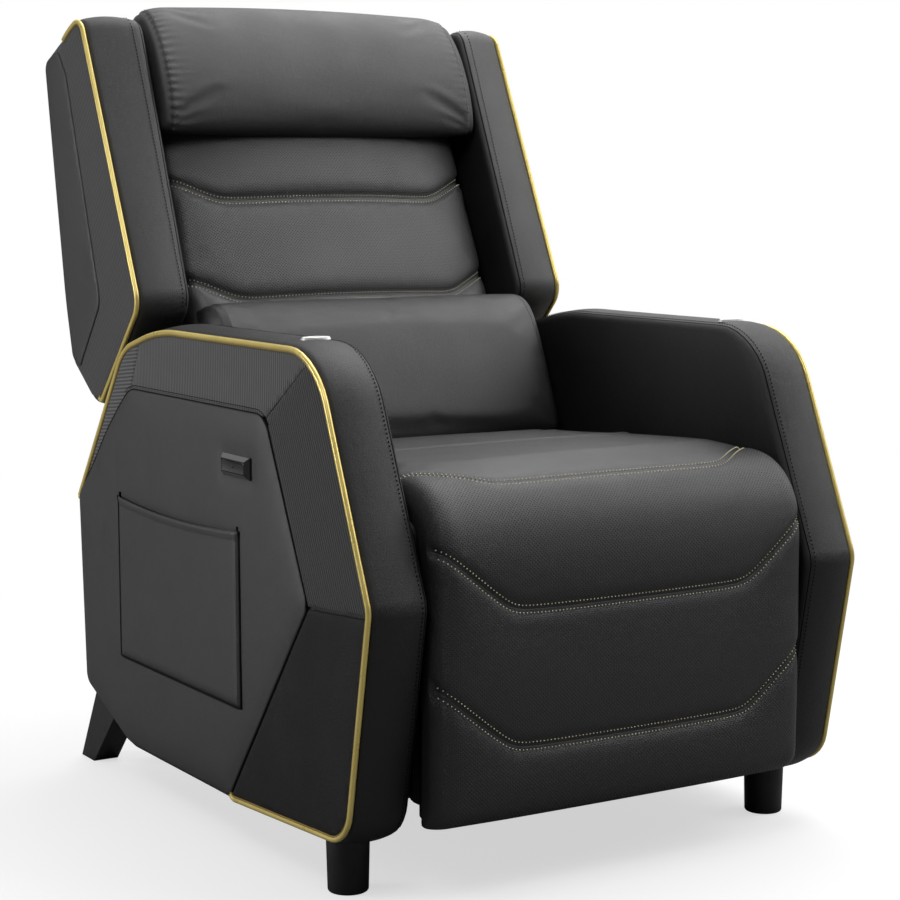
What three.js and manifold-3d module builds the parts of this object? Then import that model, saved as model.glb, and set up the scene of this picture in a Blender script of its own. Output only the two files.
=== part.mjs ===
// Gaming recliner with a powered back and a powered folding footrest.
// Millimetres, +Z up. The sitter faces -Y and +X is the viewer's right from the front.
// The origin is on the floor under the middle of the whole chair.
import * as THREE from "three";
import { mergeVertices } from "three/addons/utils/BufferGeometryUtils.js";
import Module from "manifold-3d";

const wasm = await Module();
wasm.setup();

// Fits and clearances
const fitGap = 0.3;
const runClearance = 0.3;
const openPivotClearance = 2;
const seamGap = 0.8;
const overrun = 5;

// Arms
const insideHalfWidth = 270;
const armFrontY = -461;
const armDepth = 823;
const armBottomZ = 57;
const armHeight = 571;
const armCoreWidth = 74;
const armInnerRound = 12;
const armOuterRound = 4;
const panelThickness = 4.4;
const centrePanelProud = 2;
const pipingRadius = 3.5;
const pipingInset = 3;

// Side pocket, control and badges on the arms
const pocketRearY = 197;
const pocketLength = 357;
const pocketBottomZ = 181;
const pocketHeight = 217;
const pocketWall = 2.5;
const pocketMouth = 6.5;
const pocketHem = 12;
const controlCentreY = -149;
const controlCentreZ = 476.5;
const controlLength = 72;
const controlHeight = 27;
const controlProud = 6;
const controlRim = 7;
const controlBevel = 3;
const buttonTravel = 1.5;
const buttonClearance = 0.4;
const badgeY = -260;
const badgeLength = 40;
const badgeWidth = 14;
const badgeThickness = 3;

// Feet and legs
const frontFootInboard = 39;
const frontFootY = -339;
const frontFootRadius = 26;
const frontFootTaper = 1.5;
const frontFootRound = 4;
const rearLegOutboard = 25;
const rearLegWidth = 36;
const rearLegHeelY = 394;
const rearLegFootLength = 44;
const rearLegTopLength = 66;
const rearLegSplayLength = 96;

// Pivots of the footrest, the crank tube and the back
const footrestHingeY = -408;
const footrestHingeZ = 414;
const crankAxisY = -190;
const crankAxisZ = 300;
const lugBehind = 30;
const lugBelow = 150;
const backPivotY = 150;
const backPivotZ = 330;
const hingePinRadius = 6;
const linkPinRadius = 5;
const backPinRadius = 7;
const bossWall = 9;

// Steel plates beside the seat
const plateThickness = 4;
const washerGap = 3.2;
const sidePlateTopRise = 24;
const sidePlateDrop = 38;
const sidePlateSlotLength = 62;
const sidePlateSlotHeight = 24;
const crankTubeRadius = 14;
const backTubeRadius = 12;

// Seat box and springs
const railWidth = 30;
const railHeight = 40;
const seatRailTopZ = 392;
const frontRailFrontY = -380;
const rearRailRearY = 125;
const springWireRadius = 2;
const springAmplitude = 20;
const springWaves = 6;
const springCount = 4;
const springPitch = 110;
const lowerRailHeight = 40;
const lowerRailBottomZ = 92;
const lowerFrontRailY = -330;
const rearCoverY = 345.3;
const rearCoverThickness = 6;
const rearCoverTopZ = 360;
const inletX = 180;
const inletZ = 150;
const inletSize = 30;
const inletDepth = 9;
const inletBoreRadius = 5.5;

// Actuators
const motorRailY = 0;
const motorRailBottomZ = 290;
const motorRailSize = 30;
const motorRailWall = 2.5;
const actuatorX = 72;
const leverThickness = 5;
const leverRadiusFootrest = 60;
const leverRadiusBack = 110;
const footrestTravelDeg = 85;
const backTravelDeg = 45;
const rodRadius = 6;
const guideRadius = 16;
const yokeThickness = 5;
const yokeHalfLength = 17;
const yokeHalfHeight = 27;
const yokeSideGap = 4;
const gearboxLength = 60;
const gearboxHalf = 22;
const motorCanRadius = 21;
const motorCanLength = 78;
const footrestGuideFrontY = -110;
const footrestGuideLength = 170;
const footrestRodLength = 170;
const backGuideRearY = 84;
const backGuideLength = 176;
const backRodLength = 166;
const hangerLength = 20;
const hangerWidth = 8;

// Seat cushion and footrest
const seatSideClearance = 14;
const rollRadius = 60;
const seatRearY = 78;
const seatRearTopZ = 460;
const seatCrestY = -300;
const seatCrestZ = 486;
const seatFrontCrown = 5;
const padFrontProud = 66;
const padClearance = 1.5;
const padTipZ = 398;
const padBottomZ = 86;
const padCrown = 4;
const boardThickness = 12;
const boardBehindHinge = 6;
const boardBottomZ = 104;
const boardTopBelowHinge = 66;
const boardCornerRadius = 18;
const flangeWidth = 26;
const flangeHeight = 110;
const flangeBottomZ = 116;
const channelDepth = 5;
const channelHalfWidth = 11;
const edgeRound = 16;
const sideDrawIn = 4;
const fineSpacing = 8;
const wideSpacing = 42;

// Stitched chevrons: height of the middle run and rise towards the sides
const chevronRunShare = 0.64;
const seatChevronBehindHinge = 4;
const seatChevronRise = 60;
const middleChevronZ = 334;
const lowerChevronZ = 176;
const chevronRise = 62;

// Back: measured along its slope from the point where its front plane meets the seat
const backFootY = 89.5;
const backFootZ = 474;
const backLeanDeg = 24.7;
const backPadSideClearance = 24;
const backCushionFront = 10;
const backCushionCrown = 28;
const backCushionRear = 100;
const backCushionBottom = -34;
const backCushionBelowTop = 25;
const backFrameThickness = 18;
const backFrameBottom = -24;
const backFrameBelowTop = 33;
const frameSlotLength = 380;
const frameSlotWidth = 60;
const frameSlotPitch = 100;
const frameSlotFirst = 100;
const upperBackChevronUp = 355;
const lowerBackChevronUp = 207;
const backChevronRise = 43;
const backChevronRunShare = 0.69;

// Headrest pad and lumbar pillow, in the same measures as the back
const headSideClearance = 30;
const headHeight = 191;
const headAboveTop = 20;
const headFront = -14;
const headCrown = 15;
const headHook = 50;
const headHookClearance = 5;
const pillowSideClearance = 12;
const pillowRearTop = 200;
const pillowFrontTop = 186;
const pillowRearBottom = -2;
const pillowFrontBottom = -29;
const pillowThickness = 62;
const pillowCrown = 8;

// Wings
const wingFrontY = 168;
const wingBottomZ = 513;
const wingHeight = 527;
const wingDepthPastLean = 69.6;
const wingCoreWidth = 70.4;
const wingInnerRound = 14;
const wingOuterRound = 4;
const backPanelThickness = 6;
const backPanelInset = 4;
const cheekInset = 51;
const cheekThickness = 15;
const skirtBottomZ = 412;

// Outlines as shares of depth from the front and height from the bottom, with corner radius as a share of height
const armCornerShares = [
  [1, 0.559, 0.03],
  [0.798, 0.945, 0.09],
  [0.66, 1, 0.3],
  [0.143, 1, 0.16],
  [0, 0.513, 0.045],
  [0.064, 0.03, 0.08],
  [0.428, 0, 0.1],
  [0.803, 0, 0.03],
  [0.981, 0.107, 0.035],
];
const pipingLastCorner = 6;
const centrePanelShares = [
  [1.05, 0.582],
  [0.98, 0.587],
  [0.933, 0.644],
  [0.866, 0.744],
  [0.802, 0.82],
  [0.77, 0.85],
  [0.304, 0.853],
  [0.288, 0.848],
  [0.173, 0.483],
  [0.173, 0.466],
  [0.428, 0.0],
  [0.428, -0.1],
  [1.05, -0.1],
];
const lowerPanelShares = [
  [0.173, 0.483],
  [-0.05, 0.505],
  [-0.05, -0.1],
  [0.428, -0.1],
  [0.428, 0.0],
];
const wingCornerShares = [
  [0.423, 0, 0.025],
  [0.535, 0, 0.025],
  [0.757, 0.093, 0.03],
  [0.821, 0.26, 0.2],
  [1, 0.896, 0.04],
  [0.84, 0.939, 0.05],
  [0.58, 1, 0.05],
  [0, 0.264, 0.05],
];
const wingPipingFirstCorner = 5;
const cheekCorners = [2, 5];
const backPanelShares = [
  [0.775, 0.96],
  [0.84, 0.939],
  [1, 0.896],
  [0.821, 0.26],
  [0.757, 0.093],
];
const widthShares = [-1, -0.985, -0.95, -0.88, -0.77, -0.64, -0.43, -0.21, 0];

// Directions and turning of the joints
const radiansPerDegree = Math.PI / 180;
const backLean = backLeanDeg * radiansPerDegree;
const arcStep = Math.PI / 10;
const roundSides = 16;
const pipingSides = 6;
const springSides = 5;

// Widths across the chair, worked inwards from the arm's inner face
const armOuterX = insideHalfWidth + armCoreWidth;
const seatHalfWidth = insideHalfWidth - seatSideClearance;
const backHalfWidth = insideHalfWidth - seatSideClearance;
const cheekX = backHalfWidth - cheekInset;
const backPadHalfWidth = insideHalfWidth - backPadSideClearance;
const headHalfWidth = insideHalfWidth - headSideClearance;
const pillowHalfWidth = insideHalfWidth - pillowSideClearance;
const chevronHalfRun = seatHalfWidth * chevronRunShare;
const backChevronHalfRun = backPadHalfWidth * backChevronRunShare;
const frontFootX = insideHalfWidth + frontFootInboard;
const rearLegX = armOuterX - rearLegOutboard;
const panelInnerX = armOuterX + fitGap;
const panelOuterX = panelInnerX + panelThickness;
const centrePanelX = panelOuterX + centrePanelProud;
const sidePlateOuterX = insideHalfWidth - fitGap;
const sidePlateInnerX = sidePlateOuterX - plateThickness;
const bracketOuterX = sidePlateInnerX - washerGap;
const bracketInnerX = bracketOuterX - plateThickness;
const linkOuterX = bracketInnerX - washerGap;
const linkInnerX = linkOuterX - plateThickness;
const crankOuterX = linkInnerX - washerGap;
const crankInnerX = crankOuterX - plateThickness;
const backBracketInnerX = backHalfWidth + fitGap;
const backBracketOuterX = backBracketInnerX + plateThickness;
const wingInnerX = backBracketOuterX + fitGap;
const wingOuterX = wingInnerX + wingCoreWidth;
const seatBottomZ = seatRailTopZ + fitGap + springWireRadius * 2 + fitGap;
const boardFrontY = footrestHingeY + boardBehindHinge;
const boardRearY = boardFrontY + boardThickness;
const boardTopZ = footrestHingeZ - boardTopBelowHinge;

// Depth of a wing that follows the lean, and lengths along the slope of the back up to its top
const wingDepth = wingHeight * Math.tan(backLean) + wingDepthPastLean;
const backSlopeLength = (wingBottomZ + wingHeight - backFootZ) / Math.cos(backLean);
const backCushionTop = backSlopeLength - backCushionBelowTop;
const backFrameTop = backSlopeLength - backFrameBelowTop;
const frameSlotCount = 1 + Math.floor((backFrameTop - frameSlotFirst - frameSlotWidth) / frameSlotPitch);
const headTop = backSlopeLength + headAboveTop;
const headBottom = headTop - headHeight;
const headHookBottom = backCushionTop + headHookClearance;

// Finishes
const finish = (color, roughness, metalness) => new THREE.MeshStandardMaterial({ color, roughness, metalness });
const leather = finish(0x2b2b2c, 0.5, 0);
const meshFabric = finish(0x222326, 0.9, 0);
const goldPiping = finish(0xc2a64d, 0.45, 0);
const blackSteel = finish(0x1d1e20, 0.45, 0.8);
const springSteel = finish(0x6d6f72, 0.4, 0.9);
const timber = finish(0x9a7a52, 0.75, 0);
const blackPlastic = finish(0x121214, 0.35, 0);
const footPlastic = finish(0x151516, 0.5, 0);
const brightMetal = finish(0xc9cacc, 0.25, 0.9);

// Geometry helpers

// Points of a closed outline with rounded corners, each with its outward normal; corners run anticlockwise.
function roundedOutline(corners) {
  const points = [];
  corners.forEach(([a, b, radius], index) => {
    const here = new THREE.Vector2(a, b);
    const [beforeA, beforeB] = corners.at(index - 1);
    const [afterA, afterB] = corners[(index + 1) % corners.length];
    const arriving = here.clone().sub(new THREE.Vector2(beforeA, beforeB)).normalize();
    const leaving = new THREE.Vector2(afterA, afterB).sub(here).normalize();
    const turn = Math.atan2(arriving.cross(leaving), arriving.dot(leaving));
    const side = Math.sign(turn) || 1;
    const tangent = radius * Math.tan(Math.abs(turn) / 2);
    const start = here.clone().addScaledVector(arriving, -tangent);
    const centreA = start.x - arriving.y * radius * side;
    const centreB = start.y + arriving.x * radius * side;
    const steps = radius > 0 ? Math.max(1, Math.round(Math.abs(turn) / arcStep)) : 0;
    for (let step = 0; step <= steps; step += 1) {
      const angle = steps ? (turn * step) / steps : turn / 2;
      const along = arriving.clone().rotateAround(new THREE.Vector2(), angle);
      points.push({
        a: centreA + along.y * radius * side,
        b: centreB - along.x * radius * side,
        normalA: along.y,
        normalB: -along.x,
        corner: index,
      });
    }
  });
  return points;
}

// The same outline with extra points along its sides, as far apart as the spacing asks at each place.
function subdivided(outline, spacing) {
  return outline.flatMap((point, index) => {
    const next = outline[(index + 1) % outline.length];
    const length = Math.hypot(next.a - point.a, next.b - point.b);
    const at = (share) => ({
      a: THREE.MathUtils.lerp(point.a, next.a, share),
      b: THREE.MathUtils.lerp(point.b, next.b, share),
      normalA: THREE.MathUtils.lerp(point.normalA, next.normalA, share),
      normalB: THREE.MathUtils.lerp(point.normalB, next.normalB, share),
    });
    const points = [at(0)];
    let travelled = spacing(points[0]);
    while (travelled < length) {
      const here = at(travelled / length);
      const step = spacing(here);
      if (length - travelled > step / 2) points.push(here);
      travelled += step;
    }
    return points;
  });
}

const offsetOutline = (outline, distance) =>
  outline.map(({ a, b, normalA, normalB }) => [a + normalA * distance, b + normalB * distance]);

function circle(centreA, centreB, radius, sides = roundSides) {
  return Array.from({ length: sides }, (_, index) => {
    const angle = (2 * Math.PI * index) / sides;
    return [centreA + radius * Math.cos(angle), centreB + radius * Math.sin(angle)];
  });
}

// A band between two circles, as a link or a slot has it.
function linkOutline([startA, startB], startRadius, [endA, endB], endRadius, sides = roundSides) {
  const heading = Math.atan2(endB - startB, endA - startA);
  const halfTurn = sides / 2;
  const arc = (centreA, centreB, radius, from) =>
    Array.from({ length: halfTurn + 1 }, (_, index) => {
      const angle = from + (Math.PI * index) / halfTurn;
      return [centreA + radius * Math.cos(angle), centreB + radius * Math.sin(angle)];
    });
  const quarter = Math.PI / 2;
  return [
    ...arc(endA, endB, endRadius, heading - quarter),
    ...arc(startA, startB, startRadius, heading + quarter),
  ];
}

function shapeOf(points, holes = []) {
  const shape = new THREE.Shape(points.map(([a, b]) => new THREE.Vector2(a, b)));
  shape.holes = holes.map((hole) => new THREE.Path(hole.map(([a, b]) => new THREE.Vector2(a, b))));
  return shape;
}

// A plate whose outline lies in the YZ plane, from one X to another.
function plateX(points, fromX, toX, holes = []) {
  const geometry = new THREE.ExtrudeGeometry(shapeOf(points, holes), { depth: toX - fromX, bevelEnabled: false });
  const axes = new THREE.Matrix4().makeBasis(
    new THREE.Vector3(0, 1, 0),
    new THREE.Vector3(0, 0, 1),
    new THREE.Vector3(1, 0, 0),
  );
  return geometry.applyMatrix4(axes).translate(fromX, 0, 0);
}

// A bar with slightly eased edges along X, given by its section in YZ.
function railX(y, z, width, height, halfLength) {
  const ease = width / 8;
  const section = roundedOutline([
    [y, z, ease],
    [y + width, z, ease],
    [y + width, z + height, ease],
    [y, z + height, ease],
  ]);
  return plateX(offsetOutline(section, 0), -halfLength, halfLength);
}

// A closed body through rings of equal point count; each end is a fan from its hub.
function loft(rings, firstHub, lastHub) {
  const count = rings[0].length;
  const positions = [...rings.flat(2), ...firstHub, ...lastHub];
  const hub = rings.length * count;
  const faces = [];
  for (let ring = 0; ring < rings.length - 1; ring += 1) {
    for (let point = 0; point < count; point += 1) {
      const next = (point + 1) % count;
      const low = ring * count;
      const high = low + count;
      faces.push(low + point, low + next, high + next, low + point, high + next, high + point);
    }
  }
  const last = hub - count;
  for (let point = 0; point < count; point += 1) {
    const next = (point + 1) % count;
    faces.push(hub, next, point);
    faces.push(hub + 1, last + point, last + next);
  }
  const geometry = new THREE.BufferGeometry();
  geometry.setAttribute("position", new THREE.Float32BufferAttribute(positions, 3));
  geometry.setIndex(faces);
  return geometry;
}

// The middle of a ring's points.
function middleOf(ring) {
  const sum = ring.reduce(([x, y, z], point) => [x + point[0], y + point[1], z + point[2]], [0, 0, 0]);
  return sum.map((value) => value / ring.length);
}

const loftBetween = (rings) => loft(rings, middleOf(rings[0]), middleOf(rings.at(-1)));

function mirrored(geometry) {
  const copy = geometry.index ? geometry.toNonIndexed() : geometry.clone();
  const position = copy.getAttribute("position");
  const turnedRound = [0, 2, 1];
  for (let start = 0; start < position.count; start += turnedRound.length) {
    const corners = turnedRound.map((offset) => new THREE.Vector3().fromBufferAttribute(position, start + offset));
    corners.forEach((corner, offset) => position.setXYZ(start + offset, -corner.x, corner.y, corner.z));
  }
  return copy;
}

function solidOf(geometry) {
  const bare = geometry.index ? geometry.toNonIndexed() : geometry.clone();
  bare.deleteAttribute("normal");
  bare.deleteAttribute("uv");
  const merged = mergeVertices(bare);
  return new wasm.Manifold(
    new wasm.Mesh({
      numProp: 3,
      vertProperties: new Float32Array(merged.getAttribute("position").array),
      triVerts: new Uint32Array(merged.index.array),
    }),
  );
}

function geometryOf(solid) {
  const { vertProperties, triVerts } = solid.getMesh();
  const geometry = new THREE.BufferGeometry();
  geometry.setAttribute("position", new THREE.Float32BufferAttribute(vertProperties, 3));
  geometry.setIndex(new THREE.BufferAttribute(triVerts, 1));
  return geometry;
}

const joined = (...parts) => geometryOf(parts.map(solidOf).reduce((whole, part) => whole.add(part)));
const cut = (body, ...tools) => geometryOf(tools.map(solidOf).reduce((rest, tool) => rest.subtract(tool), solidOf(body)));
const common = (body, tool) => geometryOf(solidOf(body).intersect(solidOf(tool)));

function pinX(y, z, radius, fromX, toX) {
  return plateX(circle(y, z, radius), fromX, toX);
}

function rodY(x, z, radius, fromY, toY, sides = roundSides) {
  const geometry = new THREE.CylinderGeometry(radius, radius, toY - fromY, sides);
  return geometry.translate(x, (fromY + toY) / 2, z);
}

const block = (sizeX, sizeY, sizeZ, x, y, z) => new THREE.BoxGeometry(sizeX, sizeY, sizeZ).translate(x, y, z);

// A curve that visits its knots one by one, so that a tube has a ring at each of them.
class KnotCurve extends THREE.Curve {
  constructor(knots) {
    super();
    this.knots = knots;
  }

  getUtoTmapping(share) {
    return share;
  }

  getPoint(share, target = new THREE.Vector3()) {
    const place = share * (this.knots.length - 1);
    const index = Math.min(Math.floor(place), this.knots.length - 2);
    return target.lerpVectors(this.knots[index], this.knots[index + 1], place - index);
  }
}

function tube(knots, radius, sides) {
  return new THREE.ExtrudeGeometry(shapeOf(circle(0, 0, radius, sides)), {
    extrudePath: new KnotCurve(knots),
    steps: knots.length - 1,
    bevelEnabled: false,
  });
}

const scaledCorners = (shares, startA, sizeA, startB, sizeB) =>
  shares.map(([a, b, radius = 0]) => [startA + a * sizeA, startB + b * sizeB, radius * sizeB]);

// Where a point of the back lies: behind is square to the back's front plane, up is along its slope.
function onBack(x, behind, up) {
  return [
    x,
    backFootY + behind * Math.cos(backLean) + up * Math.sin(backLean),
    backFootZ - behind * Math.sin(backLean) + up * Math.cos(backLean),
  ];
}

// A cushion lofted across its width; swell gives how far a point of the section moves at a share of the width.
function cushion({ corners, halfWidth, spacing, swell, drawnAlong, round = edgeRound, place, hub }) {
  const outline = subdivided(roundedOutline(corners), spacing);
  const [lowA, lowB] = ["a", "b"].map((axis) => Math.min(...outline.map((point) => point[axis])));
  const [highA, highB] = ["a", "b"].map((axis) => Math.max(...outline.map((point) => point[axis])));
  const [low, high] = drawnAlong === "a" ? [lowA, highA] : [lowB, highB];
  const roundStart = halfWidth - round;
  const shares = [...widthShares, ...widthShares.slice(0, -1).map((share) => -share).reverse()];
  const rings = shares.map((share) => {
    const beyond = Math.max(0, (Math.abs(share) * halfWidth - roundStart) / round);
    const inset = round * (1 - Math.sqrt(Math.max(0, 1 - beyond * beyond)));
    return outline.map((point) => {
      const [swellA, swellB] = swell(point, share);
      const along = (point[drawnAlong] - low) / (high - low);
      const narrowed = halfWidth - sideDrawIn * Math.sin(Math.PI * along);
      const a = point.a + swellA - point.normalA * inset;
      const b = point.b + swellB - point.normalB * inset;
      return place(share * narrowed, a, b);
    });
  });
  const [hubA, hubB] = hub ?? [(lowA + highA) / 2, (lowB + highB) / 2];
  return loft(rings, place(-halfWidth, hubA, hubB), place(halfWidth, hubA, hubB));
}

// How far a sewn channel pulls the cover in, for a point at a distance from its line.
const channelPull = (distance) => channelDepth * Math.max(0, 1 - Math.abs(distance) / channelHalfWidth);

// Rise of a chevron's line above its middle run, at a distance from the centre of the chair.
function chevronLift(distanceX, halfRun, halfWidth, rise) {
  return (rise * Math.max(0, Math.abs(distanceX) - halfRun)) / (halfWidth - halfRun);
}

const crownShare = (share) => 1 - share * share;

// Points lie close together where a stitched chevron crosses, and wide apart elsewhere.
function spacingNear(lines, rise) {
  return (place) => {
    const near = lines.some((line) => place > line - channelHalfWidth * 2 && place < line + rise + channelHalfWidth * 2);
    return near ? fineSpacing : wideSpacing;
  };
}

const recliner = new THREE.Group();

function piece(name, geometry, material, parent = recliner) {
  const mesh = new THREE.Mesh(geometry, material);
  mesh.name = name;
  parent.add(mesh);
}

function pair(name, geometry, material, parent = recliner) {
  piece(`${name}_r`, geometry, material, parent);
  piece(`${name}_l`, mirrored(geometry), material, parent);
}

// Arms

const armCorners = scaledCorners(armCornerShares, armFrontY, armDepth, armBottomZ, armHeight);
const armOutline = roundedOutline(armCorners);

// An upholstered slab through an outline, with its inner and outer edges rounded over.
function roundedSlab(outline, innerX, outerX, innerRound, outerRound) {
  const innerShares = [1, 0.4, 0.08, 0];
  const innerSteps = [0, 0.2, 0.6, 1];
  const rings = innerShares.map((share, index) => [innerX + innerSteps[index] * innerRound, share * innerRound]);
  rings.push([outerX - outerRound, 0]);
  rings.push([outerX, outerRound]);
  return loftBetween(rings.map(([x, inset]) => offsetOutline(outline, -inset).map(([y, z]) => [x, y, z])));
}

function armCore() {
  return roundedSlab(armOutline, insideHalfWidth, armOuterX, armInnerRound, armOuterRound);
}

const panelInset = pipingInset + pipingRadius + fitGap;

function grownPolygon(points, distance) {
  return offsetOutline(roundedOutline(points.map(([a, b]) => [a, b, 0])), distance);
}

function armPanels() {
  const field = offsetOutline(armOutline, -panelInset);
  const centre = scaledCorners(centrePanelShares, armFrontY, armDepth, armBottomZ, armHeight);
  const lower = scaledCorners(lowerPanelShares, armFrontY, armDepth, armBottomZ, armHeight);
  const thin = plateX(field, panelInnerX, panelOuterX);
  const thick = plateX(field, panelInnerX, centrePanelX);
  const toolStart = panelInnerX - overrun;
  const toolEnd = centrePanelX + overrun;
  const tool = (points, distance) => plateX(grownPolygon(points, distance), toolStart, toolEnd);
  pair("arm_centre_panel", common(thick, tool(centre, -seamGap / 2)), leather);
  const lowerField = common(thin, tool(lower, -seamGap / 2));
  pair("arm_lower_panel", cut(lowerField, tool(centre, seamGap / 2)), leather);
  pair("arm_mesh_panel", cut(thin, tool(centre, seamGap / 2), tool(lower, seamGap / 2)), meshFabric);
}

function armPiping() {
  const seat = armOutline.filter((point, index) => point.corner <= pipingLastCorner && index > 0);
  const x = panelInnerX + pipingRadius;
  const knots = offsetOutline(seat, -pipingInset).map(([y, z]) => new THREE.Vector3(x, y, z));
  return tube(knots, pipingRadius, pipingSides);
}

function sidePocket() {
  const rearY = pocketRearY;
  const frontY = rearY - pocketLength;
  const topZ = pocketBottomZ + pocketHeight;
  const innerX = centrePanelX + fitGap;
  const outerX = innerX + pocketMouth + pocketWall;
  const corner = pocketWall * 3;
  const outline = roundedOutline([
    [frontY, pocketBottomZ, corner],
    [rearY, pocketBottomZ, corner],
    [rearY, topZ, pocketWall],
    [frontY, topZ, pocketWall],
  ]);
  const shell = plateX(offsetOutline(outline, 0), innerX, outerX);
  const side = pocketWall;
  const cavity = plateX(
    [
      [frontY + side, pocketBottomZ + side],
      [rearY - side, pocketBottomZ + side],
      [rearY - side, topZ + overrun],
      [frontY + side, topZ + overrun],
    ],
    innerX - overrun,
    innerX + pocketMouth,
  );
  const hem = plateX(
    [
      [frontY + corner, topZ - pocketHem],
      [rearY - corner, topZ - pocketHem],
      [rearY - corner, topZ - pocketWall],
      [frontY + corner, topZ - pocketWall],
    ],
    outerX - pocketWall / 2,
    outerX + pocketWall / 2,
  );
  return joined(cut(shell, cavity), hem);
}

function controlOutline(inset) {
  const halfLength = controlLength / 2 - inset;
  const halfHeight = controlHeight / 2 - inset;
  const radius = controlBevel;
  return offsetOutline(
    roundedOutline([
      [controlCentreY - halfLength, controlCentreZ - halfHeight, radius],
      [controlCentreY + halfLength, controlCentreZ - halfHeight, radius],
      [controlCentreY + halfLength, controlCentreZ + halfHeight, radius],
      [controlCentreY - halfLength, controlCentreZ + halfHeight, radius],
    ]),
    0,
  );
}

const controlInnerX = centrePanelX + fitGap;
const controlOuterX = controlInnerX + controlProud;

function controlBezel() {
  const ring = (x, inset) => controlOutline(inset).map(([y, z]) => [x, y, z]);
  const rings = [ring(controlInnerX, 0), ring(controlOuterX - controlBevel, 0), ring(controlOuterX, controlBevel)];
  const body = loftBetween(rings);
  const opening = plateX(controlOutline(controlRim), controlInnerX - overrun, controlOuterX + overrun);
  return cut(body, opening);
}

function controlButton() {
  const ring = (x, inset) => controlOutline(controlRim + buttonClearance + inset).map(([y, z]) => [x, y, z]);
  const innerX = controlInnerX + buttonTravel;
  const outerX = controlOuterX - buttonClearance;
  const dish = buttonClearance;
  return loftBetween([ring(innerX, 0), ring(outerX - dish, 0), ring(outerX, dish)]);
}

function armBadge() {
  const middleX = (insideHalfWidth + armOuterX) / 2;
  const geometry = new THREE.CylinderGeometry(1 - badgeThickness / badgeLength, 1, badgeThickness, roundSides);
  geometry.rotateX(Math.PI / 2);
  geometry.scale(badgeLength / 2, badgeWidth / 2, 1);
  return geometry.translate(middleX, badgeY, armBottomZ + armHeight + fitGap + badgeThickness / 2);
}

pair("arm_body", armCore(), leather);
armPanels();
pair("arm_piping", armPiping(), goldPiping);
piece("side_pocket", mirrored(sidePocket()), leather);
piece("control_bezel", mirrored(controlBezel()), blackPlastic);
piece("control_button", mirrored(controlButton()), blackPlastic);
pair("arm_badge", armBadge(), brightMetal);

// Feet and legs, cut to the underside of the arm that they carry

const armEnvelope = plateX(offsetOutline(armOutline, fitGap), insideHalfWidth - overrun, panelOuterX + overrun);

function frontFoot() {
  const topZ = armBottomZ + frontFootRadius;
  const profile = [
    [0, 0],
    [frontFootRadius - frontFootTaper - frontFootRound, 0],
    [frontFootRadius - frontFootTaper - frontFootRound / 3, frontFootRound / 3],
    [frontFootRadius - frontFootTaper, frontFootRound],
    [frontFootRadius, topZ],
    [0, topZ],
  ];
  const turned = new THREE.LatheGeometry(profile.map(([r, z]) => new THREE.Vector2(r, z)), roundSides + 4);
  turned.rotateX(Math.PI / 2);
  return cut(turned.translate(frontFootX, frontFootY, 0), armEnvelope);
}

function rearLeg() {
  const topZ = armBottomZ + armHeight / 4;
  const lean = rearLegSplayLength * (topZ / (armBottomZ * 2));
  const outline = [
    [rearLegHeelY - rearLegFootLength, 0],
    [rearLegHeelY, 0],
    [rearLegHeelY - lean * (rearLegFootLength / rearLegTopLength), topZ],
    [rearLegHeelY - lean - rearLegTopLength, topZ],
  ];
  const fromX = rearLegX - rearLegWidth / 2;
  return cut(plateX(outline, fromX, fromX + rearLegWidth), armEnvelope);
}

pair("front_foot", frontFoot(), footPlastic);
pair("rear_leg", rearLeg(), footPlastic);

// Steel side plates with the fixed pins

function sidePlate() {
  const noseY = footrestHingeY - bossWall - hingePinRadius - fitGap;
  const topZ = footrestHingeZ + sidePlateTopRise;
  const middleTopZ = seatRailTopZ - railHeight / 2;
  const bottomZ = crankAxisZ - sidePlateDrop;
  const tailY = backPivotY + bossWall * 2 + backPinRadius;
  const corner = bossWall * 2;
  const corners = [
    [noseY, footrestHingeZ - sidePlateTopRise, corner],
    [crankAxisY - crankTubeRadius * 3, bottomZ, corner],
    [crankAxisY + crankTubeRadius * 3, bottomZ, corner],
    [backPivotY - railWidth, backPivotZ - railHeight, corner],
    [tailY, backPivotZ - railHeight, corner],
    [tailY, backPivotZ + corner + backPinRadius, corner],
    [backPivotY - railWidth, middleTopZ, corner],
    [footrestHingeY + railWidth * 2, middleTopZ, corner],
    [footrestHingeY + railWidth, topZ, corner / 2],
    [noseY, topZ, corner],
  ];
  const slotZ = (bottomZ + middleTopZ) / 2;
  const slotEnd = sidePlateSlotHeight / 2;
  const slotHalf = sidePlateSlotLength / 2 - slotEnd;
  const firstSlotY = motorRailY - sidePlateSlotLength;
  const slots = [0, 1].map((index) => {
    const centreY = firstSlotY + index * (sidePlateSlotLength + motorRailSize + bossWall * 2);
    return linkOutline([centreY - slotHalf, slotZ], slotEnd, [centreY + slotHalf, slotZ], slotEnd);
  });
  const bearing = circle(crankAxisY, crankAxisZ, crankTubeRadius + runClearance, roundSides + 4);
  const outline = offsetOutline(roundedOutline(corners), 0);
  const plate = plateX(outline, sidePlateInnerX, sidePlateOuterX, [bearing, ...slots]);
  const middleX = (sidePlateInnerX + sidePlateOuterX) / 2;
  const hingePin = pinX(footrestHingeY, footrestHingeZ, hingePinRadius, bracketInnerX - fitGap, middleX);
  const backPin = pinX(backPivotY, backPivotZ, backPinRadius, backBracketInnerX, middleX);
  return joined(plate, hingePin, backPin);
}

pair("side_plate", sidePlate(), blackSteel);

// Seat box, springs and lower rails

const sideRailStartY = frontRailFrontY + railWidth + fitGap;
const rearRailFrontY = rearRailRearY - railWidth;
const seatRailBottomZ = seatRailTopZ - railHeight;
const sideRailOuterX = sidePlateInnerX - fitGap;

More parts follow.
